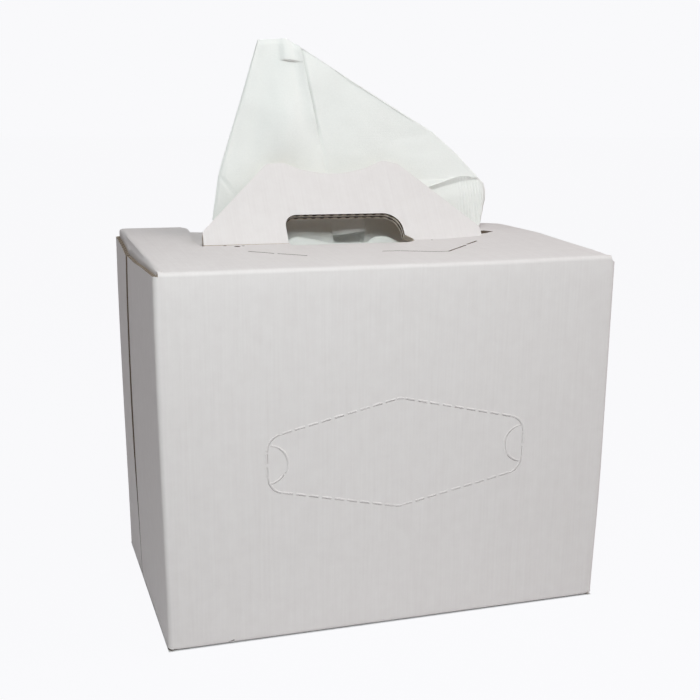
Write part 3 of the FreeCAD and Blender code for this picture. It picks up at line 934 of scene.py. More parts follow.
    def _end_flap(self, sheet: Bench, sign: int, wall: int, run: float, fold_top: float,
                  edge_top: float) -> None:
        """Folds one end flap round from a wall.

        Args:
            sheet: the blank.
            sign: the end of the carton.
            wall: -1 for the front wall, 1 for the back wall.
            run: the flap's length past the fold.
            fold_top: where the wall's own top fold starts.
            edge_top: the height of the flap's raw top edge.
        """
        c, radius = self.carton, self.carton.board.fold_radius
        face = wall * c.depth / 2
        inner, outer = sign * c.flat_x, sign * c.wall_x

        def inset(p: Vector) -> float:
            """How far a place lies behind the wall's face."""
            return (face - p.y) * wall

        sheet.pick_rim(lambda p: abs(p.x - inner) < EPS and inset(p) < radius + EPS and p.z < fold_top + EPS
                       and (p.z > radius - EPS or inset(p) < radius - EPS))
        sheet.extrude(X * (outer - inner))
        sheet.pick_rim(lambda p: abs(p.x - outer) < EPS and abs(p.y - face) < EPS and p.z > radius - EPS)
        sheet.spin(Vector((outer, face - wall * radius, 0)), Z, -sign * wall * math.pi / 2, self.fold_steps)
        sheet.extrude(Y * (-wall * run), round(run / c.board.pitch * c.board.samples))

        def on_flap(edge: bmesh.types.BMEdge, height: float) -> bool:
            """Whether an open edge of this flap lies at a height."""
            if not edge.is_boundary or any(abs(v.co.z - height) > EPS for v in edge.verts):
                return False
            own = all((v.co.y - c.seam_y) * wall > -EPS for v in edge.verts)
            outside = [v.co.x * sign - c.wall_x for v in edge.verts]
            return own and min(outside) > -EPS and max(outside) > EPS

        for height, reach in ((radius, 1.0 - radius), (fold_top, edge_top - fold_top)):
            sheet.pick(Pick.EDGES, lambda edge: on_flap(edge, height))
            sheet.extrude(Z * reach)
        sheet.pick_rim(lambda p: abs(p.z - fold_top) < EPS and abs(p.x) > c.wall_x - EPS and p.x * sign > 0
                       and inset(p) < radius + EPS)
        inwards = Vector((-sign, -wall, 0))
        sheet.extrude(inwards * 0.2 + Z * 1.2).extrude(inwards * 0.8 + Z * (radius - 2.0))
        if wall < 0:
            sheet.pick_rim(lambda p: abs(p.x - inner) < EPS and inset(p) < radius + EPS
                           and p.z > fold_top - EPS)
            sheet.extrude(X * (outer - inner))

    def _top_knives(self, finishes: Finishes) -> list[Bench]:
        """The knives that cut and mark the outer and the inner top flap.

        Args:
            finishes: the board's materials.

        Returns:
            Their benches.
        """
        c = self.carton
        split = -c.board.thickness - c.layer_gap / 2
        half, place = Handle.half_width, c.handle_place
        hinge = half + self.slit
        end = c.depth / math.cos(c.slope) + 4
        wings = rounded(mirrored([
            (hinge, place), (hinge, self.wing_shoulder), (111, self.wing_shoulder),
            (107, 148), (103, 176), (102.3, 194), (106, 202), (106, end),
        ]), {4: 60.0, 5: 9.0, 6: 7.0, 9: 7.0, 10: 9.0, 11: 60.0}, 5)
        before_window = flat((-half, place - 0.5), (half, place - 0.5), (half, place + 7), (-half, place + 7))
        across, reach = self.slot
        through = rounded([
            (-across, place - reach), (across, place - reach - 1),
            (across, place + self.slit), (-across, place + self.slit),
        ], {0: 3.0, 1: 3.0}, 4)
        above, below = 8.0, split - 12
        # the tears, the gap beside the handle, the nicks and the pressed lines take the dark fluting colour:
        # painted shade in them, over the brown fibre they show
        shapes = {
            "wings_knife": (wings, split, above, Part.CRUSHED),
            "window_knife": (Handle.outline(place + self.window_start), below, split, Part.CRUSHED),
            "window_front_knife": (before_window, below, split, Part.CRUSHED),
            "slot_knife": (through, below, above, Part.RAW_EDGE),
            "wing_tear_knife": (flat(*self.wing_tear), split, above, Part.FLUTING),
            "hole_tear_knife": (flat(*self.hole_tear), split, above, Part.FLUTING),
            "left_gap_knife": (flat(*self.left_gap), below, above, Part.FLUTING),
        }
        knives = [c.prism(name, *shape) for name, shape in shapes.items()]
        for x, y, radius in self.nicks:
            angles = (math.tau * i / 10 for i in range(10))
            ring = flat(*((x + radius * math.cos(a), y + radius * math.sin(a)) for a in angles))
            knives.append(c.prism("nick_knife", ring, -2.4, above, Part.FLUTING))
        for line in self.pressed_lines:
            knife = vee("pressed_line", flat(*line), Z, *self.pressed, KNIFE_BASE, Part.FLUTING)
            knives.append(knife.place(c.top))
        return [knife.dress(*finishes) for knife in knives]

    def _shows_fluting(self, face: bmesh.types.BMFace) -> bool:
        """Whether a face is one of the level raw edges on top of the end flaps."""
        middle = face.calc_center_median()
        return (face.material_index == Part.RAW_EDGE.value and face.normal.z > 0.95
                and middle.z > self.carton.height - 8 and abs(middle.x) > self.carton.wall_x)

    def wear(self, p: Vector) -> Vector:
        """How far the used board stands off its true place, at a place on the carton."""
        return self._washboard(p) + self._bulge(p) + self._squarer_fold(p) + self._lift(p)

    def _washboard(self, p: Vector) -> Vector:
        """The flutes that show through the liner of each face."""
        c = self.carton
        flat_share = smooth(c.wall_x, c.flat_x - 4, abs(p.x))
        inside = smooth(0, 20, p.z) * smooth(c.height, c.height - 14, p.z)
        shift = Vector()
        if abs(p.y) > c.back - 4:
            shift.y = c.board.wave(p.x) * flat_share * inside
        elif p.z > c.height - 8:
            shift.z = c.board.wave(p.x) * flat_share
        if self._on_end(p):
            shift.x = c.board.wave(p.y) * inside
        return shift

    def _on_end(self, p: Vector) -> float:
        """How much of a place belongs to an end, from 0 to 1."""
        return smooth(self.carton.wall_x - 0.5, self.carton.wall_x, abs(p.x))

    def _bulge(self, p: Vector) -> Vector:
        """The swell of the ends, their belly at the seam, and the back flap's edge, which is proud there."""
        c = self.carton
        depth, height = p.y - c.front, min(max(p.z / c.height, 0.0), 1.0)
        belly = math.sin(math.pi * height) * math.exp(-((p.y - c.seam_y) / 62) ** 2)
        if p.x > 0:
            swell = self.end_swell * smooth(-0.05, 0.4, height)
        else:
            swell = (0.9 if p.y > 0 else 1.2) * smooth(0.05, 0.8, height)
            swell *= 1 - 0.3 * smooth(0.86, 1.0, height)
        proud = 0.9 * smooth(c.seam + 34, c.seam, depth) * self._on_end(p) if depth > c.seam else 0.0
        end = smooth(c.wall_x - 60, c.wall_x, abs(p.x))
        return X * math.copysign(end * (swell + belly) + proud * smooth(0.05, 0.5, height), p.x)

    def _squarer_fold(self, p: Vector) -> Vector:
        """What makes the bottom folds squarer than arcs."""
        c, radius = self.carton, self.carton.board.fold_radius
        middle = Vector((0, math.copysign(c.back - radius, p.y), radius))
        spoke = Vector((0, p.y, p.z)) - middle
        if p.z >= radius or abs(p.y) <= c.back - radius or spoke.length <= EPS:
            return Vector()
        cosine, sine = abs(spoke.y) / spoke.length, abs(spoke.z) / spoke.length
        out, down = cosine ** self.fold_power - cosine, sine ** self.fold_power - sine
        return Vector((0, math.copysign(spoke.length * out, p.y), -spoke.length * down))

    def _lift(self, p: Vector) -> Vector:
        """What raises the raw top edges, the bottom folds and the top's sides, and dents its corner."""
        c = self.carton
        depth, across, lift = p.y - c.front, abs(p.x), 0.0
        if self._on_end(p):
            table = self.back_edge if depth > c.seam else self.front_edge
            lift += between(table, depth) * smooth(150, c.height - 4, p.z)
        side, wall = across - c.width / 2, abs(p.y) - c.back
        near = max(smooth(-12, -3, side), smooth(-12, -3, wall))
        lift += (self.base_lift * near + smooth(-6, 0, side) * smooth(-6, 0, wall)) * smooth(10, 1, p.z)
        if p.z > c.height - 10:
            lift += between(self.right_lift, depth) * smooth(60, 140, p.x)
            lift += 1.2 * smooth(70, 110, -p.x) * smooth(140, 195, depth)
        if p.x > c.flat_x and depth < 16:
            out = (p.x - c.flat_x) / (c.width / 2 - c.flat_x)
            lift -= self.dent * out ** 2 * smooth(-11, 1, p.z - c.height) * smooth(16, 3, depth)
        return Z * lift


@dataclass
class Handle:
    """The two boards of the handle, turned up about their fold, with the hand hole in them."""

    half_width = 105.0  # of every handle, which the blank's cuts follow
    carton: Carton
    lean: float = 37.4  # degrees back from upright
    yaw: float = -1.2
    bend_radius: float = 1.5
    hole_half: float = 44.0
    hole_top: float = 22.8

    @staticmethod
    def outline(start: float) -> Points:
        """The handle's outline, from its fold at a place along the top.

        Args:
            start: where its fold lies.

        Returns:
            The points, from the right end of the fold.
        """
        half = Handle.half_width
        corners = [
            (half, start), (half + 0.4, start + 9.5), (51, start + 66.5), (39, start + 69.6),
            (24, start + 62.6), (-1, start + 56.2), (-26, start + 62), (-39, start + 68.2),
            (-51, start + 66.8), (-half + 0.6, start + 10.5), (-half, start),
        ]
        return rounded(corners, {1: 7, 2: 8, 3: 9, 4: 14, 5: 60, 6: 14, 7: 14, 8: 7, 9: 7})

    def make(self, finishes: Finishes) -> None:
        """Builds, dresses and hands over both boards."""
        board = self.carton.board
        front = -self.bend_radius
        back = front - board.thickness - self.carton.layer_gap
        for name, face in (("handle_front_board", front), ("handle_back_board", back)):
            self._ply(name, face, finishes)

    @property
    def _bend(self) -> float:
        """The angle that the handle is turned up from the top."""
        return math.radians(90 - self.lean) - self.carton.slope

    def _matrix(self) -> Matrix:
        """The place of the handle: X along its fold, Y up it, Z out of its front."""
        fold = Matrix.Translation((0, self.carton.handle_place, self.bend_radius))
        yaw = Matrix.Rotation(math.radians(self.yaw), 4, "Z")
        return self.carton.top @ fold @ yaw @ Matrix.Rotation(self._bend, 4, "X")

    def _hole(self) -> Points:
        """The hand hole's outline, open at the fold and torn at its right foot."""
        half = self.hole_half
        return rounded([
            (-half, -12), (half + 7, -12), (half + 6.4, 0.4), (half + 0.4, 4.2), (half, self.hole_top),
            (-half, self.hole_top),
        ], {4: 14.0, 5: 9.0}, 10)

    def _ply(self, name: str, face: float, finishes: Finishes) -> None:
        """One board of the handle and its bend.

        Args:
            name: the piece's name.
            face: the height of its front face.
            finishes: the board's materials.
        """
        board = self.carton.board
        low = face - board.thickness
        ply = Bench(name).slab(self.outline(0), low, face, Part.CRUSHED).dress(*finishes)
        ply.cut(Bench("hole_knife").slab(self._hole(), low - 3, face + 3, Part.RAW_EDGE).dress(*finishes))
        ply.paint(Part.FACE, lambda f: f.normal.z > 0.5).paint(Part.INSIDE, lambda f: f.normal.z < -0.5)
        ply.edit().pick(Pick.FACES, lambda f: f.normal.y < -0.99 and f.calc_center_median().y < EPS)
        ply.spin(Vector(), X, -self._bend, 7).done()

        def on_bend(f: bpy.types.MeshPolygon) -> bool:
            """Whether a face is one of the bend's broad ones."""
            return abs(f.normal.x) < 0.5 and all(ply.piece.data.vertices[i].co.y < EPS for i in f.vertices)

        outer = abs(face) + board.thickness / 2
        ply.paint(Part.INSIDE, on_bend).paint(Part.FACE, lambda f: on_bend(f) and f.center.yz.length < outer)
        ply.groove(lambda f: f.material_index == Part.RAW_EDGE.value and f.calc_center_median().y > 3,
                   board.liner, board.recess)
        ply.paint(Part.CRUSHED, lambda f: f.material_index == Part.RAW_EDGE.value)
        middle = Z * (face - board.thickness / 2)
        rim = [point + middle for point in self._hole()[4:]]
        # the hand hole's fluting ribbon and groove bottoms take the dark fluting colour, with painted shade
        # of the flute holes
        flute = board.ribbon([*reversed(rim), rim[0] - Y * (self.hole_top - 18)], None, Z, X)
        ply.join(flute.dress(*finishes).paint(Part.FLUTING)).place(self._matrix())
        ply.map("flutes", lambda p, normal: (p.x, p.z)).deliver("white_board", "carton", 30)


@dataclass
class EndFlutes:
    """The fluting that shows along the end flaps' raw top edges."""

    carton: Carton
    blank: Blank

    def make(self, finish: bpy.types.Material) -> bpy.types.Object:
        """Builds and hands over the ribbons of all four flaps."""
        c, board = self.carton, self.carton.board
        radius = board.fold_radius
        ribbons = []
        for side in Side:
            x = side.value * (c.width / 2 - board.thickness / 2)
            for start, end, top in (
                (c.front + radius, c.seam_y - c.seam_gap / 2, c.front_edge_z),
                (c.seam_y + c.seam_gap / 2, c.back - radius, c.back_edge_z),
            ):
                path = [Vector((x, start, top)), Vector((x, end, top))]
                ribbons.append(board.ribbon(path, -Z, X, Y))
        first, *rest = ribbons
        first.join(*rest).press(self.blank.wear)
        first.name = first.piece.name = "end_flap_fluting"
        return first.dress(finish).deliver("white_board", "carton", 60)


# ---- the wipes ------------------------------------------------------------------------------


def part_way(start: Mark, end: Mark, share: float) -> Mark:
    """The place at a share of the way from one mark to another."""
    return start[0] + (end[0] - start[0]) * share, start[1] + (end[1] - start[1]) * share


def along(marks: Sequence[Mark], t: float) -> Mark:
    """The place at a share t of a row of marks, evenly shared among its legs."""
    place = min(max(t, 0.0), 1.0) * (len(marks) - 1)
    i = min(int(place), len(marks) - 2)
    return part_way(marks[i], marks[i + 1], place - i)


def ripple(*place: float) -> float:
    """Smooth noise at a place, between about -1 and 1."""
    return noise.noise(Vector(place))


def eased(count: int) -> list[float]:
    """Shares from 0 to 1, closer together near both ends, where a fold turns."""
    return [0.5 - 0.5 * math.cos(math.pi * i / count) for i in range(count + 1)]


@dataclass
class PulledWipe:
    """The wipe pulled up through the window: a doubled sheet, pleated, leaning on the handle."""

    carton: Carton
    thickness: float = 0.35
    foot: float = -20.0  # the stack's top, from the front fold's height
    setback: float = 40.0  # the foot's place along Y
    lean: float = 16.7  # back, from the foot to the knee
    knee: float = 58.0  # the height where the sheet straightens up
    knee_round: float = 8.0
    tip_lean: float = 2.0  # back, from the knee to the peak
    peak: float = 145.0
    gap: float = 3.0  # between the sheet's two layers
    hem_swing: float = 7.2  # how far the hem stands forward
    # the hem's line, and how far the shaded turn below it reaches down, by the place across
    hem: tuple[Mark, ...] = (
        (66, 36), (86.7, 41.8), (95.2, 44.4), (103.5, 46.5), (109.7, 46.9), (116.1, 46.5), (119.8, 45.3),
    )
    turn_depth: tuple[Mark, ...] = (
        (60, 2.6), (77.5, 3.1), (99.7, 4.2), (110, 3.6), (115.3, 2.7), (119, 1.5), (121.5, 0.4),
    )
    # how the rows of the side panels are shared out, from the foot to the peak
    left_rows: tuple[Mark, ...] = ((0, 0), (0.75, 0.9), (1, 1))
    right_rows: tuple[Mark, ...] = ((0, 0), (0.05, 0.08), (0.3, 0.19), (1, 1))
    crest: float = 4.4  # how far the peak's edge bows up, most at this share across it
    crest_place: float = 0.67
    seam_offset: float = 1.5  # of the back layer from the front one, at the folded edges
    shear: float = 0.038  # how far the part under the knee leans to the right
    corner_front: float = 6.5  # how far the hanging corner stands in front of the sheet
    tuck_front: float = 0.6  # how far its top comes forward, at the hem
    tuck_back: float = 1.8  # how far it goes back under the hem
    tuck_reach: float = 11.0  # how far down that goes out
    roll_place: Mark = (-88.0, 146.0)  # the roll's left end, and its width
    roll_share: float = 0.35  # of the skirt's rows, over the roll
    roll_back: float = 34.0  # the place along Y where the roll starts
    roll_half: float = 5.5  # half of its depth
    spread: float = 84.0  # how far the skirt runs on over the stack

    # marks across and above the front fold, from the foot to the peak
    left: tuple[Mark, ...] = (
        (-79, -20), (-81, 2), (-92, 17), (-84.5, 48), (-77, 69), (-66, 101), (-52, 144.2),
    )
    pleat: tuple[Mark, ...] = (
        (-1, -20), (-1, 5), (-1.5, 30), (-2.5, 50), (-4, 63), (-11, 94), (-20.8, 139.8),
    )
    pleat_behind: tuple[Mark, ...] = (
        (-7, -20), (-7, 5), (-8, 28), (-8.5, 42), (-9, 52), (-10, 60), (-19, 103), (-24, 138.5),
    )
    right: tuple[Mark, ...] = (
        (58, -20), (66, 5), (66, 36), (119.8, 45.3), (104, 63), (84.6, 80), (25, 113.6), (-20.8, 140.2),
    )
    corner_outer: tuple[Mark, ...] = (
        (119, 8.6), (121.2, 14), (126.2, 30), (126.8, 36), (126.0, 41), (122.6, 44.6), (116, 46.4),
    )
    corner_inner: tuple[Mark, ...] = ((82, 2.6), (76, 10), (66, 22), (62, 30), (62, 36), (63, 41), (64, 44))
    # the top of the roll in front of the foot, across the hand hole
    roll: tuple[Mark, ...] = (
        (-90, -8), (-50, -2), (-38, 5.3), (-33, 7.1), (-21, 4.9), (-7, 1.5), (10, 1.5), (22, 1.2),
        (26.5, 4.7), (31.5, 5.8), (38, 5.3), (46, 1.6), (60, -8), (90, -14),
    )

    def surface(self, h: float) -> float:
        """How far back the sheet stands at a height above the front fold."""
        below = self.lean / (self.knee - self.foot)
        above = self.tip_lean / (self.peak - self.knee)
        turn = self.knee_round * math.log1p(math.exp((h - self.knee) / self.knee_round))
        return self.setback + below * (h - self.foot) - (below - above) * turn

    def swing(self, f: float, row: float) -> float:
        """How far the sheet comes forward below its slanting crease, to the hem."""
        ramp = min(max((5 - row) / 2, 0.0), 1.0) * smooth(0.8, 2.0, row)
        return self.hem_swing * ramp * smooth(0.1, 1.0, f)

    def rise(self, share: float) -> float:
        """How far the hem bows up at a share of the way along it."""
        share = min(max(share, 0.0), 1.0)
        (x0, h0), (x1, h1) = self.hem[0], self.hem[-1]
        return between(self.hem, x0 + (x1 - x0) * share) - h0 - (h1 - h0) * share

    def bow(self, f: float) -> float:
        """How far the peak's edge bows up at a share across it."""
        return self.crest * min(f / self.crest_place, (1 - f) / (1 - self.crest_place))

    def _left_panel(self, f: float, t: float) -> Vector:
        """A place on the left panel: f across it and t up it."""
        t = between(self.left_rows, t)
        x, h = part_way(along(self.left, t), along(self.pleat, t), f)
        h += self.bow(f) * smooth(0.86, 1.0, t)
        # the hollow beside the pleat, which fades in the middle of its height
        hollow = smooth(0.05, 0.4, t) * smooth(1.0, 0.8, t) * (smooth(44, 34, h) + smooth(50, 88, h))
        relief = -hollow * (5.0 * smooth(0.22, 0.64, f) - 4.6 * smooth(0.68, 1.0, f))
        relief -= 2.6 * smooth(70, 95, h) * smooth(0.8, 1.0, f)
        # the lip below the peak
        over = h + 0.09 * (x + 30)
        lip = smooth(-37, -32.5, x) * smooth(130.0, 130.8, over) * smooth(152, 131, h)
        relief -= (3.0 - 2.4 * smooth(0.72, 0.98, f)) * lip
        # the short crease at the left edge, and the soft waves
        relief += 1.4 * smooth(0.35, 0.0, abs(h - 40 + (x + 78) * 1.5) / 6) * smooth(-70, -76, x)
        relief += 1.7 * ripple(x / 30, h / 44, 3.1) + 0.5 * ripple(x / 10, h / 15, 5.5)
        turn = 1.0 * (1 - smooth(0.0, 0.02, f)) + 1.2 * smooth(0.985, 1.0, f) + 1.0 * smooth(0.985, 1.0, t)
        return Vector((x, self.surface(h) + relief * smooth(0, 0.06, f) + turn, h))

    def _right_panel(self, f: float, t: float) -> Vector:
        """A place on the right panel: f across it and t up it."""
        t = between(self.right_rows, t)
        x, h = part_way(along(self.pleat_behind, t), along(self.right, t), f)
        clear = x - between(((-20, -1), (50, -2.5), (63, -4), (94, -11), (140, -20.8)), h)
        valley = 0.8 + (0.5 + 0.9 * smooth(55, 90, h)) * smooth(3.2, 0.2, clear)
        relief = 1.6 * ripple(x / 38, h / 30, 7.7) + 0.4 * ripple(x / 16, h / 9, 2.5)
        relief += 0.8 * math.sin(math.pi * min(max((t - 0.72) / 0.28, 0), 1)) * f
        h += self.rise(t * 7 - 2) * f ** 4
        # the flap that turns forward over the roll, in the hand hole
        over, present = h - 1.9 - 0.115 * (x + 7), smooth(-14, 10, x) * smooth(24.8, 23.4, x)
        flap = (8 * smooth(0.0, 1.6, over) - 6 * smooth(0.4, -1.4, over)) * present - 3
        flap *= smooth(34, 20, h) * smooth(-20, -8, h)
        turn = 1.0 * smooth(0.985, 1.0, f)
        place = self.surface(h) + valley + relief * smooth(0, 0.2, f) * smooth(1, 0.97, f)
        return Vector((x, place - self.swing(f, t * 7) - flap + turn, h))

    def _back_panel(self, f: float, t: float) -> Vector:
        """A place on the back layer, which meets the front one at the folded edges."""
        x, h = part_way(along(self.left, t), along(self.right, min(t, 0.995)), f)
        h += self.bow(f) * smooth(0.9, 1.0, t) + self.rise(t * 7 - 2) * f ** 4
        belly = self.gap * max(0.0, 1 - (2 * f - 1) ** 4)
        waves = 1.6 * ripple(x / 30, h / 45, 11.3) * belly / self.gap
        place = self.surface(h) + self.seam_offset + (belly + waves) * smooth(1.0, 0.94, t)
        # room for the roll in front of it
        place += 9 * smooth(-30, -8, x) * smooth(44, 26, x) * smooth(26, 10, h) * smooth(-20, -10, h)
        return Vector((x, place - self.swing(f, t * 7), h))

    def _corner(self, f: float, t: float) -> Vector:
        """A place on the corner that hangs below the right panel, tucked up behind its hem."""
        x, h = part_way(along(self.corner_inner, t), along(self.corner_outer, t), f)
        drop = between(self.hem, x) - h
        pleats = 0.28 * math.sin(x * 2.6 + 0.6 * math.sin(h / 9)) + 0.3 * ripple(x / 2.6, h / 40, 1.7)
        band = between(self.turn_depth, x)
        if drop < 0:
            tuck = 4.0 * smooth(0.0, -1.0, drop) - self.tuck_front
        elif drop < band:
            tuck = (self.tuck_front + self.tuck_back) * drop / band - self.tuck_front
        else:
            tuck = self.tuck_back * smooth(band + self.tuck_reach, band, drop)
        wrap = 5.0 * smooth(0.9, 1.0, f) ** 2
        place = self.surface(h) - self.corner_front + tuck + pleats * smooth(96, 108, x) + wrap
        return Vector((x, place, h))

    def _skirt(self, f: float, t: float) -> Vector:
        """A place on the part of the sheet that rolls forward over the stack and spreads on it."""
        x = self.roll_place[0] + self.roll_place[1] * f
        low = self.foot + 1.2
        if t < self.roll_share:
            a = math.pi * t / self.roll_share
            place = self.roll_back + self.roll_half * math.cos(a)
            height = between(self.roll, x) - 2.3 - low
            return Vector((x, place, low + height * math.sin(a) ** 0.8))
        out = (t - self.roll_share) / (1 - self.roll_share)
        fold = 1.2 * abs(math.sin(x / 9)) * smooth(0, 0.3, out) * smooth(1.0, 0.7, out)
        front = self.roll_back - self.roll_half - self.spread * out
        return Vector((x * (1 + 0.25 * out), front, low + fold))

    def make(self, finish: bpy.types.Material) -> bpy.types.Object:
        lofts = (
            self._loft("pulled_up_wipe", self._left_panel, 48, 200, False),
            self._loft("right_panel", self._right_panel, 84, 176, False),
            self._loft("back_panel", self._back_panel, 44, 84, False),
            self._loft("corner", self._corner, 150, 96, True),
            self._loft("skirt", self._skirt, 73, 44, False),
        )
        bench = lofts[0]
        bench.join(*lofts[1:]).press(lambda p: X * (self.shear * max(0.0, self.knee - p.z)))
        bench.place(Matrix.Translation((0, 0, self.carton.height)))
        bench.modify("SOLIDIFY", thickness=self.thickness, offset=0).outwards().dress(finish)
        piece = bench.deliver("wipe", "pulled_wipe", 50)
        return piece

    @staticmethod
    def _loft(name: str, place: Callable[[float, float], Vector], columns: int, rows: int,
              turned: bool) -> Bench:
        """A sheet through places given by two shares.

        Args:
            name: its name.
            place: gives the place at a share across and a share up.
            columns: how many faces across.
            rows: how many faces up.
            turned: whether the fabric's lines run up it, not across.

        Returns:
            The sheet, mapped in millimetres with U along the fabric's lines.
        """
        bench = Bench(name).grid((columns, rows), (1, 1), Vector())
        across = eased(columns)
        for vertex in bench.piece.data.vertices:
            column = round((vertex.co.x + 0.5) * columns)
            row = round((vertex.co.y + 0.5) * rows)
            vertex.co = place(across[column], row / rows)
        return bench.map("crepe", lambda p, normal: (p.z, p.x) if turned else (p.x, p.z))


@dataclass
class WipeStack:
    """The interfolded wipes still in the carton, as one pad of folded layers."""

    cells: tuple[int, int] = (48, 32)
    layers: int = 56
    sag: float = 1.5

    def make(self, finish: bpy.types.Material) -> bpy.types.Object:
        """Builds, dresses and hands over the pad."""
        low, high = (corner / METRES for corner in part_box("wipe_stack"))
        size = high - low
        middle = (low + high) / 2 + Z * size.z / 2
        pad = Bench("stack_of_wipes").grid(self.cells, (size.x, size.y), middle).edit()
        pad.pick_rim(lambda p: True)
        fold = size.z / self.layers
        narrow = Vector((1 - 1 / size.x, 1 - 1 / size.y, 1))
        wide = Vector((1 / narrow.x, 1 / narrow.y, 1))
        for turn in (narrow, wide) * self.layers:
            pad.extrude(Z * (-fold / 2))
            bpy.ops.transform.resize(value=turn)
        bpy.ops.mesh.edge_face_add()
        pad.done().outwards()
        top = high.z - EPS
        pad.press(lambda p: Z * (-self.sag * (0.5 + 0.5 * noise.noise(p / 60)) if p.z > top else 0.0))
        pad.map("crepe", lambda p, normal: (p.x, p.y + p.z)).dress(finish)
        piece = pad.deliver("wipe", "wipe_stack", 50)
        return piece


# ---- the studio -----------------------------------------------------------------------------


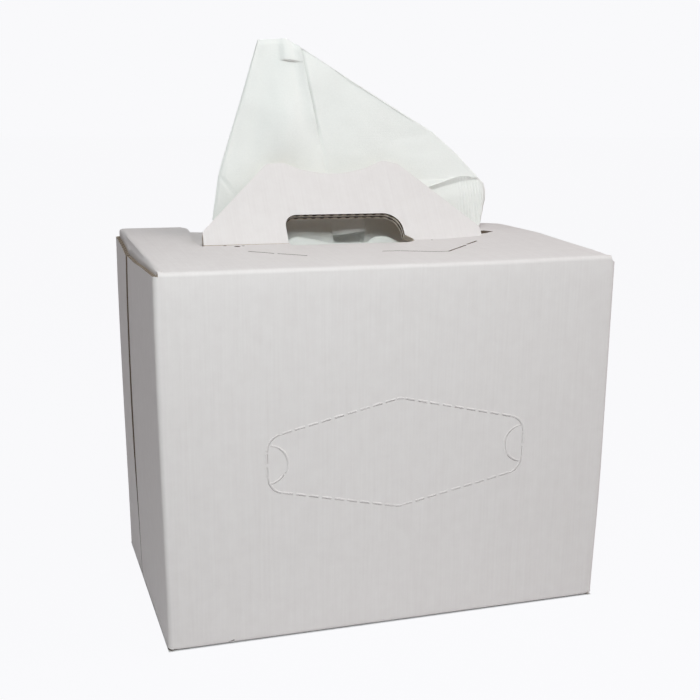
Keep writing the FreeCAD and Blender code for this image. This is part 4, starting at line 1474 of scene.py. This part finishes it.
@dataclass
class Studio:
    """A pale floor, soft light and the camera."""

    carton: Carton
    azimuth: float = -17.805
    elevation: float = 14.84
    roll: float = 0.333
    lens: float = 56.558
    shift: float = 0.0857
    place: tuple[float, float, float] = (-0.24294, -0.75826, 0.33693)  # of the camera, in metres
    background: str = "#f9f9fb"

    def camera(self) -> None:
        """Puts the camera in its place."""
        az, el, roll = (math.radians(a) for a in (self.azimuth, self.elevation, self.roll))
        back = Vector((math.sin(az) * math.cos(el), -math.cos(az) * math.cos(el), math.sin(el)))
        right = Z.cross(back).normalized()
        upright = back.cross(right)
        x = right * math.cos(roll) + upright * math.sin(roll)
        y = upright * math.cos(roll) - right * math.sin(roll)
        data = bpy.data.cameras.new("camera")
        data.lens, data.shift_y = self.lens, self.shift
        eye = bpy.data.objects.new("camera", data)
        eye.matrix_world = Matrix.Translation(self.place) @ Matrix((x, y, back)).transposed().to_4x4()
        bpy.context.scene.collection.objects.link(eye)
        bpy.context.scene.camera = eye

    def lamp(self, name: str, bearing: tuple[float, float], distance: float, size: float, watts: float,
             tint: str) -> None:
        """Aims one soft lamp at the carton.

        Args:
            name: its name.
            bearing: its azimuth, 0 in front and 90 to the right, and its angle above the floor.
            distance: from the carton's middle, in metres.
            size: the side of its square face.
            watts: its power.
            tint: its colour.
        """
        az, el = (math.radians(angle) for angle in bearing)
        way = Vector((math.sin(az) * math.cos(el), -math.cos(az) * math.cos(el), math.sin(el)))
        data = bpy.data.lights.new(name, "AREA")
        data.size, data.energy, data.color = size, watts, srgb(tint)[:3]
        light = bpy.data.objects.new(name, data)
        light.location = Vector((0, 0, 0.15)) + way * distance
        light.rotation_euler = way.to_track_quat("Z", "Y").to_euler()
        bpy.context.scene.collection.objects.link(light)

    def seen_white(self, material: bpy.types.Material, shader: bpy.types.Node, share: float,
                   level: float = 1.0) -> bpy.types.Node:
        """Mixes a shader with plain white for the eye, reflections and transmission alone.

        Args:
            material: the floor's material, or the world.
            shader: what lights the rest.
            share: how much of the white is seen.
            level: how bright it is, 1 for white.

        Returns:
            The mixing node.
        """
        rays = add_node(material, "ShaderNodeLightPath")
        glossy = add_node(material, "ShaderNodeMath", {
            0: rays.outputs["Is Camera Ray"], 1: rays.outputs["Is Glossy Ray"],
        }, operation="MAXIMUM")
        seen = add_node(material, "ShaderNodeMath", {
            0: glossy.outputs["Value"], 1: rays.outputs["Is Transmission Ray"],
        }, operation="MAXIMUM")
        part = add_node(material, "ShaderNodeMath", {0: seen.outputs["Value"], 1: share},
                        operation="MULTIPLY")
        white = add_node(material, "ShaderNodeEmission", {"Color": srgb(self.background), "Strength": level})
        return add_node(material, "ShaderNodeMixShader", {
            "Fac": part.outputs["Value"], 1: shader.outputs[0], 2: white.outputs[0],
        })

    def floor(self) -> None:
        """Lays the pale floor."""
        deselect_all()
        bpy.ops.mesh.primitive_plane_add(size=40, location=(0, 0, 0))
        floor = bpy.context.object
        floor.name = "floor"
        material, shader = new_material("pale_floor", 0.9)
        shader.inputs["Base Color"].default_value = srgb("#e9e9ea")
        mixed = self.seen_white(material, shader, 0.97, 1.02)
        place = add_node(material, "ShaderNodeTexCoord")
        apart = add_node(material, "ShaderNodeSeparateXYZ", {"Vector": place.outputs["Object"]})
        inside = None
        for axis, size in (("X", self.carton.width), ("Y", self.carton.depth)):
            length = add_node(material, "ShaderNodeMath", {0: apart.outputs[axis]}, operation="ABSOLUTE")
            within = add_node(material, "ShaderNodeMath", {0: length.outputs["Value"], 1: size / 2 * METRES},
                              operation="LESS_THAN")
            inside = within if inside is None else add_node(
                material, "ShaderNodeMath", {0: inside.outputs["Value"], 1: within.outputs["Value"]},
                operation="MULTIPLY")
        mixed = add_node(material, "ShaderNodeMixShader", {
            "Fac": inside.outputs["Value"], 1: mixed.outputs[0], 2: shader.outputs[0],
        })
        output = material.node_tree.nodes["Material Output"]
        material.node_tree.links.new(mixed.outputs[0], output.inputs["Surface"])
        floor.data.materials.append(material)

    def world(self, strength: float) -> None:
        """Lights the room evenly, white to the eye."""
        world = bpy.data.worlds.new("room")
        bpy.context.scene.world = world
        world.use_nodes = True
        base = world.node_tree.nodes["Background"]
        base.inputs["Color"].default_value = srgb("#fff0f0")
        base.inputs["Strength"].default_value = strength
        mixed = self.seen_white(world, base, 1.0)
        output = world.node_tree.nodes["World Output"]
        world.node_tree.links.new(mixed.outputs[0], output.inputs["Surface"])

    def make(self) -> None:
        """Sets the camera, the floor and the lights."""
        self.camera()
        self.floor()
        self.world(0.1)
        self.lamp("near_front", (-15, 43), 1.0, 0.35, 6.1, "#f6ffff")
        self.lamp("right_side", (70, 48), 1.7, 0.9, 8.4, "#fff6f5")
        bpy.context.scene.view_settings.view_transform = "Standard"


def main() -> None:
    """Builds the carton, the wipes and the studio."""
    logging.basicConfig(level=logging.INFO, format="%(name)s: %(message)s", stream=sys.stdout)
    carton = Carton()
    Studio(carton).make()
    liner = WhiteTopLiner().make()
    kraft = BrownKraft().make()
    cut_fibre = BrownKraft("cut_kraft_edge", "#b4a696", "#988a7b", 1.2).make()
    # the fluting medium: darker than its kraft, with painted shade of the flute holes, slits and gaps where
    # it is put
    fluting = BrownKraft("fluting_medium_and_painted_shade", "#6c5d51", "#54473d", 1.0).make()
    crushed = BrownKraft("crushed_white_edge", "#e9ded2", "#d6c8b8", 1.4).make()
    board = (liner, kraft, cut_fibre, fluting, crushed)
    blank = Blank(carton)
    blank.make(board)
    Handle(carton).make(board)
    EndFlutes(carton, blank).make(cut_fibre)
    wipe = AirlaidWipe().make()
    WipeStack().make(wipe)
    PulledWipe(carton).make(wipe)


if __name__ == "__main__":
    main()
